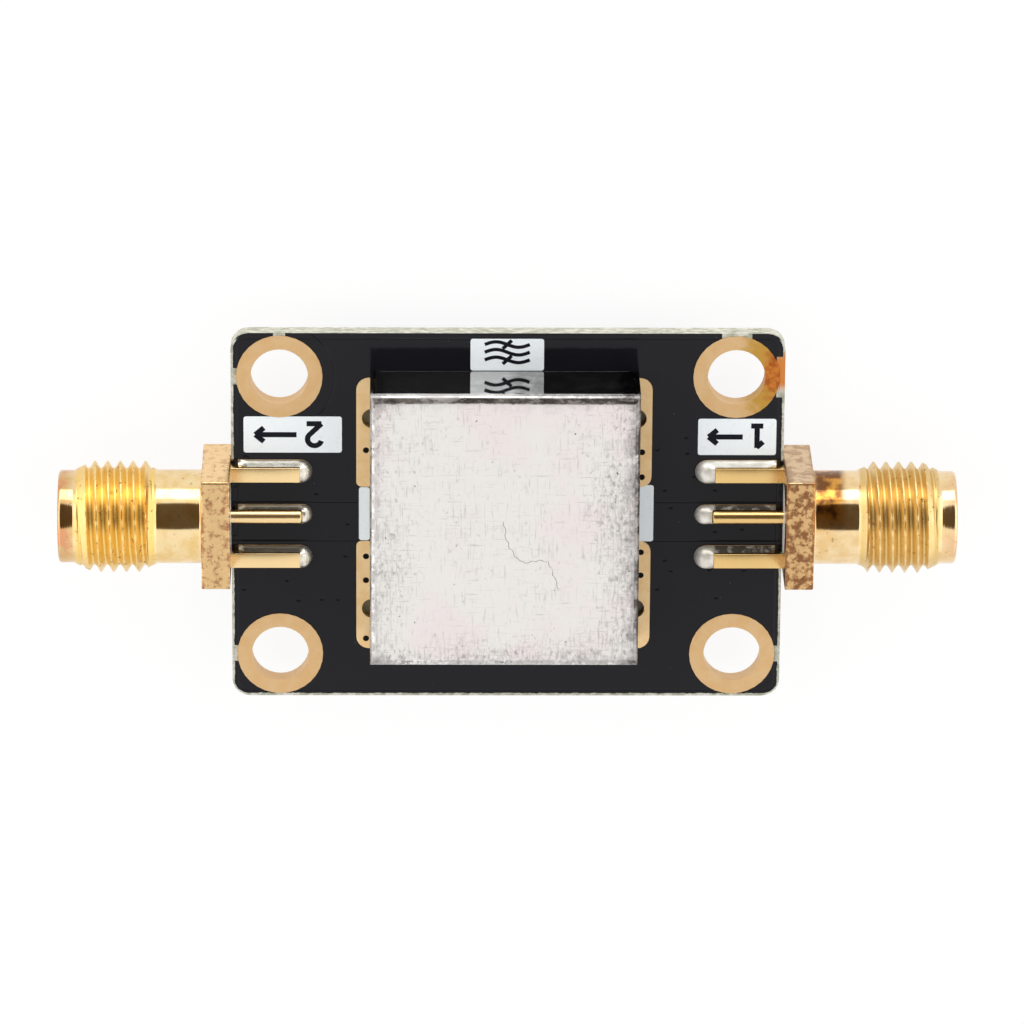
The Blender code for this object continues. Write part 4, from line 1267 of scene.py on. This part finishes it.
PAD_TOP = MASK + COPPER
VIAS = {-1: (-3.68, -2.2, 2.28, 3.66), 1: (-3.78, 2.54, 3.97, 7.47)}  # along the strips, from the axis
VIA_OUT, VIA_RADIUS = CAN_HALF[0] + 0.23, 0.178
HOLE_RADIUS, WALL_RADIUS = 0.598, 0.56
via_places = [(CAN_X + sign * VIA_OUT, AXIS_Y + y) for sign in VIAS for y in VIAS[sign]]
dots = [disc_grid(x, y, VIA_RADIUS, MASK - 0.4, PAD_TOP - 0.012) for x, y in via_places]
plug, tree, shader = finish("via_plug", srgb(8, 8, 9), 0.6, IOR=1.2)
clouded(tree, shader, srgb(5, 5, 6), srgb(20, 18, 16), 8)
piece("via_plugs", [shell(dot, wrap_columns=True) for dot in dots], plug)

holes = [(x, AXIS_Y + end * TAB_OFF) for x in WALL_X.values() for end in (-1, 1)]
walls = [tube_grid(x, y, WALL_RADIUS, HOLE_RADIUS, UNDERSIDE + 0.02, PAD_TOP - 0.002) for x, y in holes]
wall_shells = [shell(wall, wrap_rows=True, wrap_columns=True) for wall in walls]
piece("tab_hole_walls", wall_shells, PAD_GOLD)
flux_and_painted_shade, tree, shader = finish("set_flux", srgb(84, 72, 40), 0.3)
clouded(tree, shader, srgb(160, 146, 92), srgb(72, 62, 38), 3)
feet = [disc_grid(x, y, WALL_RADIUS, UNDERSIDE + 0.05, UNDERSIDE + 0.6) for x, y in holes]
piece("tab_hole_flux", [shell(foot, wrap_columns=True) for foot in feet], flux_and_painted_shade)

# %% [markdown]
# ## Parts under the board and inside the can
#
# The solder on the can's tabs is a small dome, with the tab's end in its middle. Coils and chips sit in the
# closed can. Nobody sees them, but they get their real finishes.


# %% Domes on the tabs
def dome_grid(x, y, radius, height):
    """A dome below the board: rows from rim to pole with a sine, and a flat lid against the board."""
    rise = np.linspace(0, np.pi / 2, 10)
    foot = UNDERSIDE - HOLD
    rows = [(radius * np.cos(r) ** 0.8, foot - height * np.sin(r)) for r in rise]
    return circles(x, y, [(0.0, foot), *rows], 40)


for side, sign in SIDES.items():
    for end, facing in ((-1, "front"), (1, "back")):
        name = "solder_tab_" + side + "_" + facing
        dome = dome_grid(WALL_X[sign], AXIS_Y + end * TAB_OFF, radius=0.85, height=0.42)
        piece(name + "_set", [shell(dome, wrap_columns=True)], SOLDER["output"], [name], sharp=60)


# %% Coils and chips
def hidden_finish(name, light, dark, roughness, metallic):
    made, tree, shader = finish(name, light, roughness, metallic)
    clouded(tree, shader, light, dark, 5, 4)
    return made


COIL = hidden_finish("coil_wire", srgb(186, 112, 62), srgb(140, 74, 40), 0.35, 1.0)
CHIP = hidden_finish("chip_ceramic", srgb(176, 152, 120), srgb(140, 116, 88), 0.5, 0.0)
for kind, material in (("inductor", COIL), ("capacitor", CHIP)):
    inside = [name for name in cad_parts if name.startswith(kind)]
    for name in inside:
        dress(name, material)
    print(kind, "pieces inside the can:", len(inside))

# %% [markdown]
# ## Light, floor and background
#
# The photograph was taken in a white tent with an opening for the camera, so round metal shows a dark band
# where it mirrors that opening. The world repeats this: bright from all sides, a little brighter at the
# front and clearly brighter to the left and right, and dark round the direction of the camera. The floor is
# nearly white to the camera and in reflections, and still takes the object's soft shadow.

# %% World
world = bpy.data.worlds.new("tent")
bpy.context.scene.world = world
world.use_nodes = True
tree = world.node_tree
tree.nodes.clear()
direction = field(tree, "TexCoord", output="Generated")
toward = {0: direction, 1: tuple(place / np.linalg.norm(place))}
opening = step_up(field(tree, "VectorMath", toward, "Value", operation="DOT_PRODUCT"), 0.825, 0.855)
sideways, front, _ = xyz(direction)
tent = front * -0.1 + 1.12 + sideways * sideways * 0.85
WHITE = (1, 1, 1, 1)
tint = blend_colour(opening, WHITE, (0.1, 0.072, 0.045, 1))
seen = field(tree, "LightPath", output="Is Camera Ray")
strength = field(tree, "Mix", {0: seen, 2: tent, 3: 1.0}, data_type="FLOAT")
seen_tint = blend_colour(seen, tint, WHITE)
background = field(tree, "Background", {"Color": seen_tint, "Strength": strength})
add(tree, "OutputWorld", {"Surface": background})

# %% Soft lamp
lamp = bpy.data.objects.new("softbox", bpy.data.lights.new("softbox", "AREA"))
bpy.context.scene.collection.objects.link(lamp)
lamp.data.shape = "RECTANGLE"
lamp.data.size, lamp.data.size_y = 0.7, 0.34
lamp.data.energy = 1.5
lamp.location = (0.06, -0.55, 0.1)
lamp.rotation_euler = (math.radians(80), 0, math.radians(6))

# %% Floor
FLOOR_HALF = 3.0
floor_mesh = bpy.data.meshes.new("floor")
corners = [(x * FLOOR_HALF, y * FLOOR_HALF, 0) for x, y in ((-1, -1), (1, -1), (1, 1), (-1, 1))]
floor_mesh.from_pydata(corners, [], [(0, 1, 2, 3)])
floor = bpy.data.objects.new("floor", floor_mesh)
bpy.context.scene.collection.objects.link(floor)
floor.location.z = -0.0001
floor_finish, tree, shader = finish("pale_floor", (0.93, 0.93, 0.93, 1), 0.8)
rays = add(tree, "LightPath").outputs
direct = [Field(rays[kind]) for kind in ("Is Camera Ray", "Is Glossy Ray", "Is Transmission Ray")]
glow = field(tree, "Emission", {"Color": WHITE, "Strength": 1.02})
mixed = {0: largest(*direct) * 0.88, 1: Field(shader.outputs[0]), 2: glow}
wire(field(tree, "MixShader", mixed), tree.nodes["Material Output"], "Surface")
floor_mesh.materials.append(floor_finish)
bpy.context.scene.view_settings.view_transform = "Standard"
